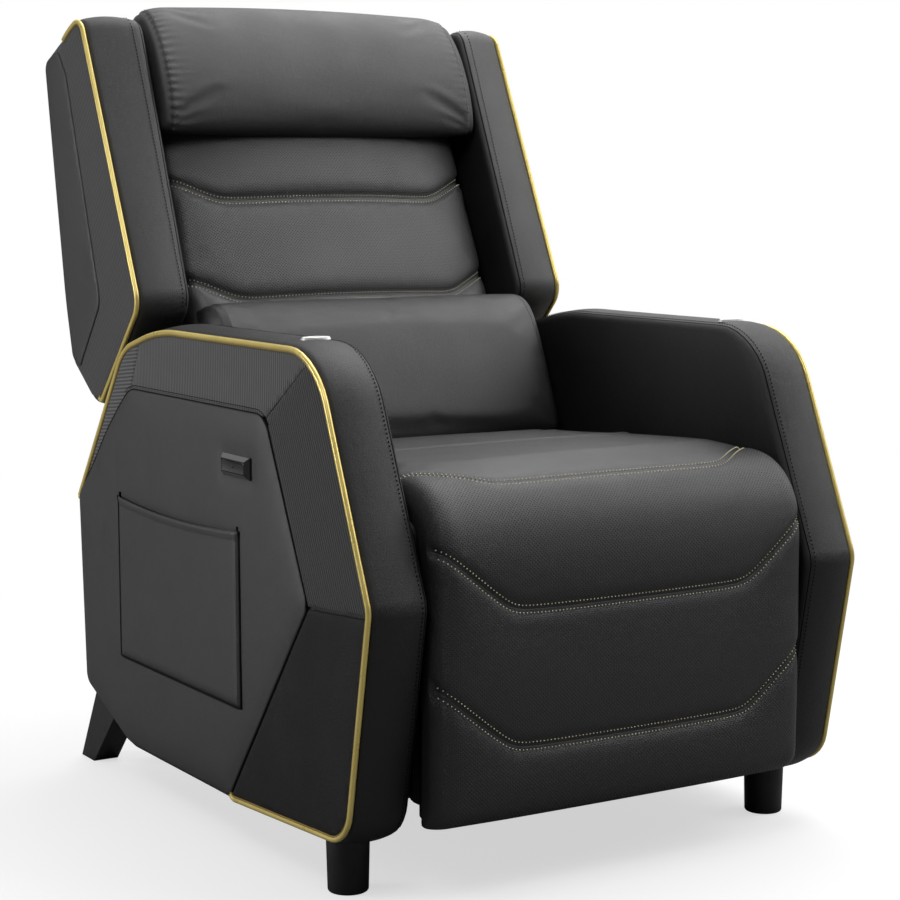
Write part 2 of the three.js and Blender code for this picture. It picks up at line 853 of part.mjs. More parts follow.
function seatSpring(x) {
  const startY = frontRailFrontY + railWidth / 3;
  const endY = rearRailRearY - railWidth / 3;
  const z = seatRailTopZ + fitGap + springWireRadius;
  const cornerShares = [
    [0, 0],
    [0.12, 1],
    [0.38, 1],
    [0.62, -1],
    [0.88, -1],
  ];
  const waveLength = (endY - startY) / springWaves;
  const knots = Array.from({ length: springWaves }, (_, wave) =>
    cornerShares.map(
      ([along, across]) =>
        new THREE.Vector3(x + across * springAmplitude, startY + (wave + along) * waveLength, z),
    ),
  ).flat();
  knots.push(new THREE.Vector3(x, endY, z));
  return tube(knots, springWireRadius, springSides);
}

const frontRailHalf = bracketInnerX - fitGap * 3;
const sideRailWidth = railWidth;
const sideRail = plateX(
  [
    [sideRailStartY, seatRailBottomZ],
    [rearRailFrontY - fitGap, seatRailBottomZ],
    [rearRailFrontY - fitGap, seatRailTopZ],
    [sideRailStartY, seatRailTopZ],
  ],
  sideRailOuterX - sideRailWidth,
  sideRailOuterX,
);

piece("seat_rail_front", railX(frontRailFrontY, seatRailBottomZ, railWidth, railHeight, frontRailHalf), timber);
piece("seat_rail_rear", railX(rearRailFrontY, seatRailBottomZ, railWidth, railHeight, sideRailOuterX), timber);
pair("seat_rail", sideRail, timber);
for (let index = 0; index < springCount; index += 1) {
  const x = (index - (springCount - 1) / 2) * springPitch;
  piece(`seat_spring_${index + 1}`, seatSpring(x), springSteel);
}
const lowerRailHalf = insideHalfWidth - fitGap;
const lowerRearRailY = rearCoverY - fitGap - railHeight;
piece(
  "lower_front_rail",
  railX(lowerFrontRailY, lowerRailBottomZ, railHeight, lowerRailHeight, lowerRailHalf),
  timber,
);
piece("lower_rear_rail", railX(lowerRearRailY, lowerRailBottomZ, railHeight, lowerRailHeight, lowerRailHalf), timber);

function rearCover() {
  const endY = rearCoverY + rearCoverThickness;
  const slab = plateX(
    [
      [rearCoverY, lowerRailBottomZ],
      [endY, lowerRailBottomZ],
      [endY, rearCoverTopZ],
      [rearCoverY, rearCoverTopZ],
    ],
    -lowerRailHalf,
    lowerRailHalf,
  );
  const hole = rodY(inletX, inletZ, inletSize / 2 - inletDepth / 3 + fitGap, rearCoverY - overrun, endY + overrun);
  return cut(slab, hole);
}

function powerInlet() {
  const endY = rearCoverY + rearCoverThickness;
  const flange = block(inletSize, inletDepth / 3, inletSize, inletX, endY + fitGap + inletDepth / 6, inletZ);
  const barrel = rodY(inletX, inletZ, inletSize / 2 - inletDepth / 3, endY - inletDepth, endY + inletDepth / 3);
  const bore = rodY(inletX, inletZ, inletBoreRadius, endY - inletDepth + inletDepth / 4, endY + inletDepth);
  return cut(joined(flange, barrel), bore);
}

piece("rear_cover", rearCover(), leather);
piece("power_inlet", powerInlet(), blackPlastic);

// Footrest: hinged board and pad, with the crank tube, links and actuator that push it out

const lugY = footrestHingeY + lugBehind;
const lugZ = footrestHingeZ - lugBelow;
const crankPinY = crankAxisY + lugBehind;
const crankPinZ = crankAxisZ - lugBelow;
const linkBoss = linkPinRadius + bossWall / 2;

function footrestBracket() {
  const hingeBoss = hingePinRadius + bossWall;
  const lugBoss = linkPinRadius + bossWall;
  const arm = linkOutline([footrestHingeY, footrestHingeZ], hingeBoss, [lugY, lugZ], lugBoss);
  const flangeTopZ = flangeBottomZ + flangeHeight;
  const tail = [
    [boardRearY + fitGap, flangeBottomZ],
    [boardRearY + fitGap + plateThickness, flangeBottomZ],
    [lugY + lugBoss / 2, lugZ],
    [boardRearY + fitGap, lugZ],
  ];
  const plate = joined(plateX(arm, bracketInnerX, bracketOuterX), plateX(tail, bracketInnerX, bracketOuterX));
  const flange = block(
    flangeWidth,
    plateThickness,
    flangeHeight,
    bracketOuterX - flangeWidth / 2,
    boardRearY + fitGap + plateThickness / 2,
    (flangeBottomZ + flangeTopZ) / 2,
  );
  const middleX = (bracketInnerX + bracketOuterX) / 2;
  const pin = pinX(lugY, lugZ, linkPinRadius, linkInnerX - fitGap, middleX);
  const bore = pinX(
    footrestHingeY,
    footrestHingeZ,
    hingePinRadius + runClearance,
    bracketInnerX - overrun,
    bracketOuterX + overrun,
  );
  return cut(joined(plate, flange, pin), bore);
}

function driveLink() {
  const start = [crankPinY, crankPinZ];
  const end = [lugY, lugZ];
  const holes = [
    circle(...start, linkPinRadius + runClearance),
    circle(...end, linkPinRadius + openPivotClearance),
  ];
  return plateX(linkOutline(start, linkBoss, end, linkBoss + openPivotClearance / 2), linkInnerX, linkOuterX, holes);
}

// Lever that the actuator pushes, at a starting angle behind straight down, with its drive pin.
function lever(axisY, axisZ, radius, angleDeg, boss, innerX) {
  const angle = angleDeg * radiansPerDegree;
  const endY = axisY + radius * Math.sin(angle);
  const endZ = axisZ - radius * Math.cos(angle);
  const arm = plateX(
    linkOutline([axisY, axisZ], boss, [endY, endZ], linkPinRadius + bossWall / 2),
    innerX,
    innerX + leverThickness,
  );
  const pinEndX = innerX + leverThickness + yokeSideGap + yokeThickness + yokeSideGap;
  const pin = pinX(endY, endZ, linkPinRadius, innerX + leverThickness / 2, pinEndX);
  return joined(arm, pin);
}

const leverInnerX = actuatorX - yokeThickness / 2 - yokeSideGap - leverThickness;

function torqueTube() {
  const shaft = plateX(
    circle(crankAxisY, crankAxisZ, crankTubeRadius, roundSides + 4),
    -sidePlateOuterX + fitGap,
    sidePlateOuterX - fitGap,
  );
  const boss = crankTubeRadius + bossWall / 2;
  const crankArm = linkOutline([crankAxisY, crankAxisZ], boss, [crankPinY, crankPinZ], linkBoss);
  const rightCrank = joined(
    plateX(crankArm, crankInnerX, crankOuterX),
    pinX(crankPinY, crankPinZ, linkPinRadius, (crankInnerX + crankOuterX) / 2, linkOuterX + fitGap),
  );
  const drive = lever(crankAxisY, crankAxisZ, leverRadiusFootrest, footrestTravelDeg / 2, boss, leverInnerX);
  return joined(shaft, rightCrank, mirrored(rightCrank), drive);
}

// A plate with an upright slot that the drive pin works in, on the end of a round rod.
function yokeRod(pinY, axisZ, rodFromY, rodToY) {
  const slotReach = yokeHalfHeight - bossWall - linkPinRadius;
  const slotHalfWidth = linkPinRadius + openPivotClearance;
  const slot = linkOutline([pinY, axisZ - slotReach], slotHalfWidth, [pinY, axisZ + slotReach], slotHalfWidth);
  const ease = bossWall / 2;
  const outline = roundedOutline([
    [pinY - yokeHalfLength, axisZ - yokeHalfHeight, ease],
    [pinY + yokeHalfLength, axisZ - yokeHalfHeight, ease],
    [pinY + yokeHalfLength, axisZ + yokeHalfHeight, ease],
    [pinY - yokeHalfLength, axisZ + yokeHalfHeight, ease],
  ]);
  const innerX = actuatorX - yokeThickness / 2;
  const plate = plateX(offsetOutline(outline, 0), innerX, innerX + yokeThickness, [slot]);
  return joined(plate, rodY(actuatorX, axisZ, rodRadius, rodFromY, rodToY));
}

// Guide tube with its gearbox, motor and hanger; the guide is bored for the rod from its open end.
function actuator(axisZ, openY, guideLength, direction) {
  const closedY = openY + direction * guideLength;
  const backY = closedY + direction * gearboxLength;
  const span = (from, to) => [Math.min(from, to), Math.max(from, to)];
  const guide = rodY(actuatorX, axisZ, guideRadius, ...span(openY, closedY + (direction * gearboxLength) / 2));
  const boreEndY = closedY - (direction * bossWall) / 2;
  const bore = rodY(actuatorX, axisZ, rodRadius + runClearance, ...span(openY - direction * overrun, boreEndY));
  const gearbox = new THREE.ExtrudeGeometry(
    shapeOf(
      offsetOutline(
        roundedOutline([
          [-gearboxHalf, -gearboxHalf, bossWall],
          [gearboxHalf, -gearboxHalf, bossWall],
          [gearboxHalf, gearboxHalf, bossWall],
          [-gearboxHalf, gearboxHalf, bossWall],
        ]),
        0,
      ),
    ),
    { depth: gearboxLength, bevelEnabled: false },
  );
  gearbox.rotateX(Math.PI / 2);
  gearbox.translate(actuatorX, Math.max(closedY, backY), axisZ);
  const can = new THREE.CylinderGeometry(motorCanRadius, motorCanRadius, motorCanLength, roundSides);
  can.rotateZ(Math.PI / 2);
  can.translate(actuatorX + gearboxHalf + motorCanLength / 2 - bossWall, (closedY + backY) / 2, axisZ);
  const hangerTopZ = motorRailBottomZ - fitGap;
  const hangerBottomZ = axisZ + guideRadius - bossWall / 2;
  const hanger = block(
    hangerWidth,
    hangerLength,
    hangerTopZ - hangerBottomZ,
    actuatorX,
    motorRailY + motorRailSize / 2,
    (hangerTopZ + hangerBottomZ) / 2,
  );
  return cut(joined(guide, gearbox, can, hanger), bore);
}

const leverDrop = (radius, travelDeg) => radius * (1 + Math.cos((travelDeg / 2) * radiansPerDegree)) / 2;
const footrestRodZ = crankAxisZ - leverDrop(leverRadiusFootrest, footrestTravelDeg);
const footrestPinY = crankAxisY + leverRadiusFootrest * Math.sin((footrestTravelDeg / 2) * radiansPerDegree);
const backRodZ = backPivotZ - leverDrop(leverRadiusBack, backTravelDeg);
const backPinY = backPivotY + leverRadiusBack * Math.sin((backTravelDeg / 2) * radiansPerDegree);

function motorRail() {
  const wall = motorRailWall;
  const square = (inset) => [
    [motorRailY + inset, motorRailBottomZ + inset],
    [motorRailY + motorRailSize - inset, motorRailBottomZ + inset],
    [motorRailY + motorRailSize - inset, motorRailBottomZ + motorRailSize - inset],
    [motorRailY + inset, motorRailBottomZ + motorRailSize - inset],
  ];
  return plateX(square(0), -sideRailOuterX, sideRailOuterX, [square(wall)]);
}

const footrestYokeRearY = footrestPinY + yokeHalfLength - bossWall / 2;
const backYokeFrontY = backPinY - yokeHalfLength + bossWall / 2;

piece("motor_rail", motorRail(), blackSteel);
piece("footrest_motor", actuator(footrestRodZ, footrestGuideFrontY, footrestGuideLength, 1), blackPlastic);
piece("recline_motor", mirrored(actuator(backRodZ, backGuideRearY, backGuideLength, -1)), blackPlastic);
piece("torque_tube", torqueTube(), blackSteel);
pair("drive_link", driveLink(), blackSteel);
piece(
  "footrest_rod",
  yokeRod(footrestPinY, footrestRodZ, footrestYokeRearY, footrestYokeRearY + footrestRodLength),
  springSteel,
);
piece(
  "recline_rod",
  mirrored(yokeRod(backPinY, backRodZ, backYokeFrontY - backRodLength, backYokeFrontY)),
  springSteel,
);

function footrestBoard() {
  const halfWidth = bracketInnerX - fitGap;
  const shape = shapeOf(
    offsetOutline(
      roundedOutline([
        [-halfWidth, boardBottomZ, boardCornerRadius],
        [halfWidth, boardBottomZ, boardCornerRadius],
        [halfWidth, boardTopZ, 0],
        [-halfWidth, boardTopZ, 0],
      ]),
      0,
    ),
  );
  const geometry = new THREE.ExtrudeGeometry(shape, { depth: boardThickness, bevelEnabled: false });
  return geometry.rotateX(Math.PI / 2).translate(0, boardRearY, 0);
}

function footrestPad() {
  const frontY = footrestHingeY - padFrontProud;
  const rearY = boardFrontY - fitGap;
  const cup = rollRadius + padClearance;
  const bend = edgeRound * 2;
  const corners = [
    [frontY + bend / 2, padBottomZ, bend],
    [rearY, padBottomZ, bend / 8],
    [rearY, padTipZ, 0],
    [frontY, padTipZ, 0],
    [frontY, padBottomZ + bend * 2, bend * 2],
  ];
  const near = spacingNear([middleChevronZ, lowerChevronZ], chevronRise);
  const swell = (point, share) => {
    const x = share * seatHalfWidth;
    const lift = chevronLift(x, chevronHalfRun, seatHalfWidth, chevronRise);
    const channels = channelPull(point.b - middleChevronZ - lift) + channelPull(point.b - lowerChevronZ - lift);
    return [Math.min(0, point.normalA) * (padCrown * crownShare(share) - channels), 0];
  };
  const body = cushion({
    corners,
    halfWidth: seatHalfWidth,
    spacing: (point) => (point.normalA < -0.5 ? near(point.b) : wideSpacing),
    swell,
    drawnAlong: "b",
    place: (x, y, z) => [x, y, z],
  });
  const cupTool = pinX(footrestHingeY, footrestHingeZ, cup, -insideHalfWidth, insideHalfWidth);
  return cut(body, cupTool);
}

piece("footrest_board", footrestBoard(), timber);
piece("footrest_pad", footrestPad(), leather);
pair("footrest_bracket", footrestBracket(), blackSteel);

// Seat cushion, with the front roll centred on the footrest hinge

function seatCushion() {
  const rollTopZ = footrestHingeZ + rollRadius;
  const rollFrontY = footrestHingeY - rollRadius;
  const lipY = frontRailFrontY - fitGap * 10;
  const rollBottomZ = footrestHingeZ - rollRadius;
  const corners = [
    [lipY, seatBottomZ, 0],
    [seatRearY, seatBottomZ, edgeRound / 2],
    [seatRearY, seatRearTopZ, edgeRound],
    [seatCrestY, seatCrestZ, seatHalfWidth],
    [footrestHingeY, rollTopZ, seatHalfWidth / 2],
    [rollFrontY, rollTopZ, rollRadius],
    [rollFrontY, rollBottomZ, rollRadius],
    [lipY, rollBottomZ, edgeRound / 4],
  ];
  const swell = (point, share) => {
    const x = share * seatHalfWidth;
    const lift = chevronLift(x, chevronHalfRun, seatHalfWidth, seatChevronRise);
    const line = footrestHingeY - seatChevronBehindHinge + lift;
    const upward = Math.max(0, point.normalB);
    const crown = seatFrontCrown * crownShare(share) * THREE.MathUtils.smoothstep(point.a, footrestHingeY, seatCrestY);
    return [0, upward * (crown - channelPull(point.a - line))];
  };
  const near = spacingNear([footrestHingeY - seatChevronBehindHinge], seatChevronRise);
  return cushion({
    corners,
    halfWidth: seatHalfWidth,
    spacing: (point) => (point.normalB > 0.3 ? near(point.a) : wideSpacing),
    swell,
    drawnAlong: "a",
    place: (x, y, z) => [x, y, z],
    hub: [footrestHingeY, footrestHingeZ],
  });
}

piece("seat_cushion", seatCushion(), leather);

// Back: board, brackets, cushion, headrest pad, pillow and rear panel

const backAxes = new THREE.Matrix4().makeBasis(
  new THREE.Vector3(0, Math.sin(backLean), Math.cos(backLean)),
  new THREE.Vector3(1, 0, 0),
  new THREE.Vector3(0, Math.cos(backLean), -Math.sin(backLean)),
);
const backFrameFront = backCushionRear + fitGap;

function backFrame() {
  const corners = [
    [backFrameBottom, -backHalfWidth, edgeRound],
    [backFrameTop, -backHalfWidth, edgeRound * 3],
    [backFrameTop, backHalfWidth, edgeRound * 3],
    [backFrameBottom, backHalfWidth, edgeRound],
  ];
  const slotEnd = frameSlotWidth / 2;
  const slotReach = frameSlotLength / 2 - slotEnd;
  const slots = Array.from({ length: frameSlotCount }, (_, index) => {
    const up = frameSlotFirst + index * frameSlotPitch;
    return linkOutline([up, -slotReach], slotEnd, [up, slotReach], slotEnd);
  });
  const shape = shapeOf(offsetOutline(roundedOutline(corners), 0), slots);
  const geometry = new THREE.ExtrudeGeometry(shape, { depth: backFrameThickness, bevelEnabled: false });
  geometry.translate(0, 0, backFrameFront);
  return geometry.applyMatrix4(backAxes).translate(0, backFootY, backFootZ);
}

function backBracket() {
  const middle = backFrameFront + backFrameThickness / 2;
  const [, footY, footZ] = onBack(0, middle, 0);
  const [, topY, topZ] = onBack(0, middle, frameSlotFirst + frameSlotWidth);
  const boss = backPinRadius + bossWall;
  const strapHalf = backFrameThickness / 2 + bossWall / 3;
  const lower = plateX(
    linkOutline([backPivotY, backPivotZ], boss, [footY, footZ], strapHalf),
    backBracketInnerX,
    backBracketOuterX,
  );
  const upper = plateX(
    linkOutline([footY, footZ], strapHalf, [topY, topZ], strapHalf),
    backBracketInnerX,
    backBracketOuterX,
  );
  const bore = pinX(
    backPivotY,
    backPivotZ,
    backPinRadius + runClearance,
    backBracketInnerX - overrun,
    backBracketOuterX + overrun,
  );
  return cut(joined(lower, upper), bore);
}

function reclineTube() {
  const end = backBracketInnerX - fitGap * 2;
  const shaft = plateX(circle(backPivotY, backPivotZ, backTubeRadius), -end, end);
  const boss = backTubeRadius + bossWall / 2;
  const drive = lever(backPivotY, backPivotZ, leverRadiusBack, backTravelDeg / 2, boss, leverInnerX);
  return joined(shaft, mirrored(drive));
}

function backCushion() {
  const front = backCushionFront + backCushionCrown;
  const corners = [
    [front, backCushionBottom, edgeRound],
    [backCushionRear, backCushionBottom, edgeRound / 2],
    [backCushionRear, backCushionTop, edgeRound / 2],
    [front, backCushionTop, edgeRound],
  ];
  const near = spacingNear([lowerBackChevronUp, upperBackChevronUp], backChevronRise);
  const swell = (point, share) => {
    const x = share * backPadHalfWidth;
    const lift = chevronLift(x, backChevronHalfRun, backPadHalfWidth, backChevronRise);
    const channels = channelPull(point.b - upperBackChevronUp - lift) + channelPull(point.b - lowerBackChevronUp - lift);
    return [Math.min(0, point.normalA) * (backCushionCrown * crownShare(share) - channels), 0];
  };
  return cushion({
    corners,
    halfWidth: backPadHalfWidth,
    spacing: (point) => (point.normalA < -0.5 ? near(point.b) : wideSpacing),
    swell,
    drawnAlong: "b",
    place: onBack,
  });
}

const againstCushion = backCushionFront - fitGap * 2;

function headrestPad() {
  const corners = [
    [headFront, headBottom, edgeRound * 1.4],
    [againstCushion, headBottom, edgeRound / 4],
    [againstCushion, headHookBottom, 0],
    [headHook, headHookBottom, edgeRound / 4],
    [headHook, headTop, edgeRound * 2],
    [headFront, headTop, edgeRound * 1.8],
  ];
  const swell = (point, share) => [Math.min(0, point.normalA) * headCrown * crownShare(share), 0];
  return cushion({
    corners,
    halfWidth: headHalfWidth,
    spacing: () => wideSpacing,
    swell,
    drawnAlong: "b",
    place: onBack,
    hub: [0, (headHookBottom + headTop) / 2],
  });
}

function lumbarPillow() {
  const front = againstCushion - pillowThickness;
  const corners = [
    [front, pillowFrontBottom, edgeRound],
    [againstCushion, pillowRearBottom, edgeRound],
    [againstCushion, pillowRearTop, edgeRound],
    [front, pillowFrontTop, edgeRound * 1.5],
  ];
  const swell = (point, share) => [Math.min(0, point.normalA) * pillowCrown * crownShare(share), 0];
  return cushion({
    corners,
    halfWidth: pillowHalfWidth,
    spacing: () => wideSpacing,
    swell,
    drawnAlong: "b",
    round: edgeRound * 1.5,
    place: onBack,
  });
}

// The rear line of the back from its top edge down to the skirt, moved inwards by a distance.
function rearLine(inwards) {
  const outer = scaledCorners(backPanelShares, wingFrontY, wingDepth, wingBottomZ, wingHeight);
  const line = outer.map(([y, z]) => new THREE.Vector2(y - backPanelInset, z - backPanelInset));
  const last = line.at(-1);
  line.push(new THREE.Vector2(last.x - (last.y - skirtBottomZ) / 12, skirtBottomZ));
  return line.map((point, index) => {
    const before = line[Math.max(0, index - 1)];
    const after = line[Math.min(line.length - 1, index + 1)];
    const along = after.clone().sub(before).normalize();
    return [point.x + along.y * inwards, point.y - along.x * inwards];
  });
}

function backPanel() {
  return plateX([...rearLine(backPanelThickness), ...rearLine(0).reverse()], -backBracketOuterX, backBracketOuterX);
}

// Cheek of the back frame that the rear panel rests on.
function backCheek(x) {
  const middle = backFrameFront + backFrameThickness / 2;
  const [, topY, topZ] = onBack(0, middle, backFrameTop - cheekThickness);
  const [, footY, footZ] = onBack(0, middle, frameSlotFirst - frameSlotWidth);
  const rear = rearLine(backPanelThickness + fitGap).slice(...cheekCorners);
  return plateX([...rear, [footY, footZ], [topY, topZ]].reverse(), x, x + cheekThickness);
}

const backCheeks = [cheekX, -cheekX - cheekThickness].map(backCheek);
piece("back_frame", joined(backFrame(), ...backCheeks), timber);
pair("back_bracket", backBracket(), blackSteel);
piece("recline_tube", reclineTube(), blackSteel);
piece("back_cushion", backCushion(), leather);
piece("headrest_pad", headrestPad(), leather);
piece("lumbar_pillow", lumbarPillow(), leather);
piece("back_panel", backPanel(), leather);

// Wings

const wingOutline = roundedOutline(scaledCorners(wingCornerShares, wingFrontY, wingDepth, wingBottomZ, wingHeight));
const wingPanelInnerX = wingOuterX + fitGap;

function wingCore() {
  return roundedSlab(wingOutline, wingInnerX, wingOuterX, wingInnerRound, wingOuterRound);
}

function wingPanel() {
  return plateX(offsetOutline(wingOutline, -panelInset), wingPanelInnerX, wingPanelInnerX + panelThickness);
}

function wingPiping() {
  const first = wingOutline.filter((point) => point.corner >= wingPipingFirstCorner);
  const last = wingOutline.filter((point) => point.corner === 0);
  const x = wingPanelInnerX + pipingRadius;
  const knots = offsetOutline([...first, ...last], -pipingInset).map(([y, z]) => new THREE.Vector3(x, y, z));
  return tube(knots, pipingRadius, pipingSides);
}

pair("wing", wingCore(), leather);
pair("wing_panel", wingPanel(), meshFabric);
pair("wing_piping", wingPiping(), goldPiping);

export default recliner;
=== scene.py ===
# %% [markdown]
# # A power recliner, dressed in leather
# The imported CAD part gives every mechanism, size and joint. This script adds what a photograph shows and
# a CAD solid leaves out: padded leather, sewn channels, stitches, piping, ribbed fabric, and a studio to
# see them in. Shapes are worked out in mm and become metres with MM as they enter a mesh. The chair faces
# -Y, and the floor is z = 0.

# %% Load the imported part
import math

import bmesh
import bpy
import numpy as np
from mathutils import Matrix, Vector, noise
from mathutils.bvhtree import BVHTree


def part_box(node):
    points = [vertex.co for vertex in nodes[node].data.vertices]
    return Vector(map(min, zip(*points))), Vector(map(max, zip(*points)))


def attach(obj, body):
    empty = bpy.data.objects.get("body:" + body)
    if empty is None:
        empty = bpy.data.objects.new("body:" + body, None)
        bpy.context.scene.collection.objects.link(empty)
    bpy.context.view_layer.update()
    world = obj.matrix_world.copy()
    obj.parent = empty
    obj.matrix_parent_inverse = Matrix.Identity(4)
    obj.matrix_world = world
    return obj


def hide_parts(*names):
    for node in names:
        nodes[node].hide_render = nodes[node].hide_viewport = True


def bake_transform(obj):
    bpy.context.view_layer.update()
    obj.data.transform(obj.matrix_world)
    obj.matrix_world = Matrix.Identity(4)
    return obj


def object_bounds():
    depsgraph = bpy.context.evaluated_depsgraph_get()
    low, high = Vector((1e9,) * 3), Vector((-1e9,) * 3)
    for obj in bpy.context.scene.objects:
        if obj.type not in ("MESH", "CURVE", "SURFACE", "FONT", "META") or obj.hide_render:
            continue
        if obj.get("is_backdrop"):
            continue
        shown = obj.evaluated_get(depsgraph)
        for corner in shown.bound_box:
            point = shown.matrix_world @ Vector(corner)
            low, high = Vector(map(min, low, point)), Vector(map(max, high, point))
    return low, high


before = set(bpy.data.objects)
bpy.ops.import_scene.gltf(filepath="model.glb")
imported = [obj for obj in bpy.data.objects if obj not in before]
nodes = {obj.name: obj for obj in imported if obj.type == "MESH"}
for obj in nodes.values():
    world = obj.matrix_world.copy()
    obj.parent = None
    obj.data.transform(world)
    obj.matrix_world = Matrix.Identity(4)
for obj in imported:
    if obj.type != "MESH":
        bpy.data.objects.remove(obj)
cad_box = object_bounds()
MM = 0.001

# %% [markdown]
# ## Materials: one set of effects, used by many finishes
# Leather grain, small holes, ribs, and slow changes of tone are each a node group. A group puts out only
# masks and heights; the shader stays in the material, so each finish sets its own colour, gloss and sheen
# on it.

# %% Small helpers that write node trees
def socket_in(tree, node, name, value):
    """Sets a socket to a number or colour, or links another socket to it."""
    if isinstance(value, bpy.types.NodeSocket):
        tree.links.new(value, node.inputs[name])
    elif value is not None:
        node.inputs[name].default_value = value


def add(tree, kind, inputs=(), **settings):
    made = tree.nodes.new("ShaderNode" + kind)
    for key, value in settings.items():
        setattr(made, key, value)
    for name, value in dict(inputs).items():
        socket_in(tree, made, name, value)
    return made


def calc(tree, operation, *values, clamp=False):
    made = add(tree, "Math", enumerate(values), operation=operation, use_clamp=clamp)
    return made.outputs[0]


def plus(tree, a, b, clamp=False):
    return calc(tree, "ADD", a, b, clamp=clamp)


def times(tree, a, b):
    return calc(tree, "MULTIPLY", a, b)


def ramp(tree, value, low, high, to_low=0.0, to_high=1.0):
    """Runs from to_low to to_high as the value goes from low to high."""
    ends = {"From Min": low, "From Max": high, "To Min": to_low, "To Max": to_high}
    return add(tree, "MapRange", {"Value": value, **ends}).outputs["Result"]


def clouds(tree, place, scale, detail, **inputs):
    return add(tree, "TexNoise", {"Vector": place, "Scale": scale, "Detail": detail, **inputs})


def new_group(name, inputs, outputs):
    """A node group; an input with no value given is a vector, and the rest are numbers."""
    tree = bpy.data.node_groups.new(name, "ShaderNodeTree")
    for label, value in inputs:
        kind = "NodeSocketVector" if value is None else "NodeSocketFloat"
        made = tree.interface.new_socket(label, in_out="INPUT", socket_type=kind)
        if value is not None:
            made.default_value = value
    for label in outputs:
        tree.interface.new_socket(label, in_out="OUTPUT", socket_type="NodeSocketFloat")
    return tree, tree.nodes.new("NodeGroupInput").outputs, tree.nodes.new("NodeGroupOutput")


def use(tree, group, **inputs):
    made = tree.nodes.new("ShaderNodeGroup")
    made.node_tree = group
    for name, value in inputs.items():
        socket_in(tree, made, name, value)
    return made.outputs


# %% [markdown]
# ### Leather grain
# Coated leather is pressed with small rounded pebbles, and the valleys between them meet in a fine net.
# Voronoi cells give the pebbles, and a slower noise bends the net and makes some parts smoother, as wear
# and stretching do.

# %% Grain group
inputs = [("Vector", None), ("Scale", 700.0)]
grain, given, out = new_group("leather_grain", inputs, ["Height", "Valley", "Tone"])
bend = clouds(grain, given["Vector"], 90.0, 2.0)
bent = add(grain, "VectorMath", {0: bend.outputs["Color"], "Scale": 0.004}, operation="SCALE")
moved = add(grain, "VectorMath", {0: given["Vector"], 1: bent.outputs[0]}, operation="ADD").outputs[0]
cells = add(grain, "TexVoronoi", {"Vector": moved, "Scale": given["Scale"]}, feature="DISTANCE_TO_EDGE")
pebble = ramp(grain, cells.outputs["Distance"], 0.0, 0.22)
slow = clouds(grain, given["Vector"], 14.0, 3.0)
wrinkle = clouds(grain, moved, 160.0, 4.0, Roughness=0.6)
socket_in(grain, out, "Height", plus(grain, pebble, times(grain, wrinkle.outputs["Fac"], 0.8)))
socket_in(grain, out, "Valley", calc(grain, "SUBTRACT", 1.0, pebble, clamp=True))
socket_in(grain, out, "Tone", slow.outputs["Fac"])

# %% [markdown]
# ### Perforation
# The seat and back panels are punched with small holes in staggered rows. A cushion carries its own
# coordinates, measured along the leather, so the rows follow the cover round its roll. Each point asks
# how far it is from the nearest hole of two square lattices, one shifted by half a step.

# %% Perforation group
inputs = [("Vector", None), ("Pitch", 0.0046), ("Radius", 0.0008)]
holes, given, out = new_group("perforation", inputs, ["Hole"])
axes = add(holes, "SeparateXYZ", {0: given["Vector"]})
distances = []
for shift in (0.0, 0.5):
    square = []
    for axis in ("X", "Y"):
        cell = plus(holes, calc(holes, "DIVIDE", axes.outputs[axis], given["Pitch"]), shift)
        off = calc(holes, "SUBTRACT", calc(holes, "FRACT", cell), 0.5)
        square.append(calc(holes, "POWER", calc(holes, "ABSOLUTE", off), 2.0))
    distances.append(calc(holes, "SQRT", plus(holes, *square)))
nearest = times(holes, calc(holes, "MINIMUM", *distances), given["Pitch"])
rim = times(holes, given["Radius"], 0.55)
socket_in(holes, out, "Hole", ramp(holes, nearest, rim, given["Radius"], 1.0, 0.0))

# %% [markdown]
# ### Ribs
# The fabric border is woven in fine cords. A sine along one direction gives the cords, and a faster one
# across them the turns of the yarn.

# %% Rib group
inputs = [("Vector", None), ("Across", None), ("Along", None), ("Pitch", 0.0048)]
ribs, given, out = new_group("ribs", inputs, ["Height", "Groove"])
turns = []
for label, share in (("Across", 1.0), ("Along", 0.45)):
    place = add(ribs, "VectorMath", {0: given["Vector"], 1: given[label]}, operation="DOT_PRODUCT")
    round_turn = times(ribs, place.outputs["Value"], 2 * math.pi)
    phase = calc(ribs, "DIVIDE", round_turn, times(ribs, given["Pitch"], share))
    turns.append(calc(ribs, "MULTIPLY_ADD", calc(ribs, "SINE", phase), 0.5, 0.5))
socket_in(ribs, out, "Height", plus(ribs, times(ribs, turns[0], 0.9), times(ribs, turns[1], 0.1)))
socket_in(ribs, out, "Groove", calc(ribs, "SUBTRACT", 1.0, turns[0]))

# %% [markdown]
# ### Handling marks
# Plastic, paint and metal are never one even gloss: hands and cloths leave soft clouds, and fine
# scratches cross them.

# %% Handling group
marks, given, out = new_group("handling_marks", [("Vector", None), ("Scale", 30.0)], ["Cloud", "Scratch"])
cloud = clouds(marks, given["Vector"], given["Scale"], 4.0, Roughness=0.6)
skew = {"Vector": given["Vector"], "Scale": (40.0, 900.0, 60.0), "Rotation": (0.3, 0.5, 0.8)}
stretched = clouds(marks, add(marks, "Mapping", skew).outputs[0], 1.0, 3.0)
socket_in(marks, out, "Cloud", cloud.outputs["Fac"])
socket_in(marks, out, "Scratch", ramp(marks, stretched.outputs["Fac"], 0.62, 0.72))


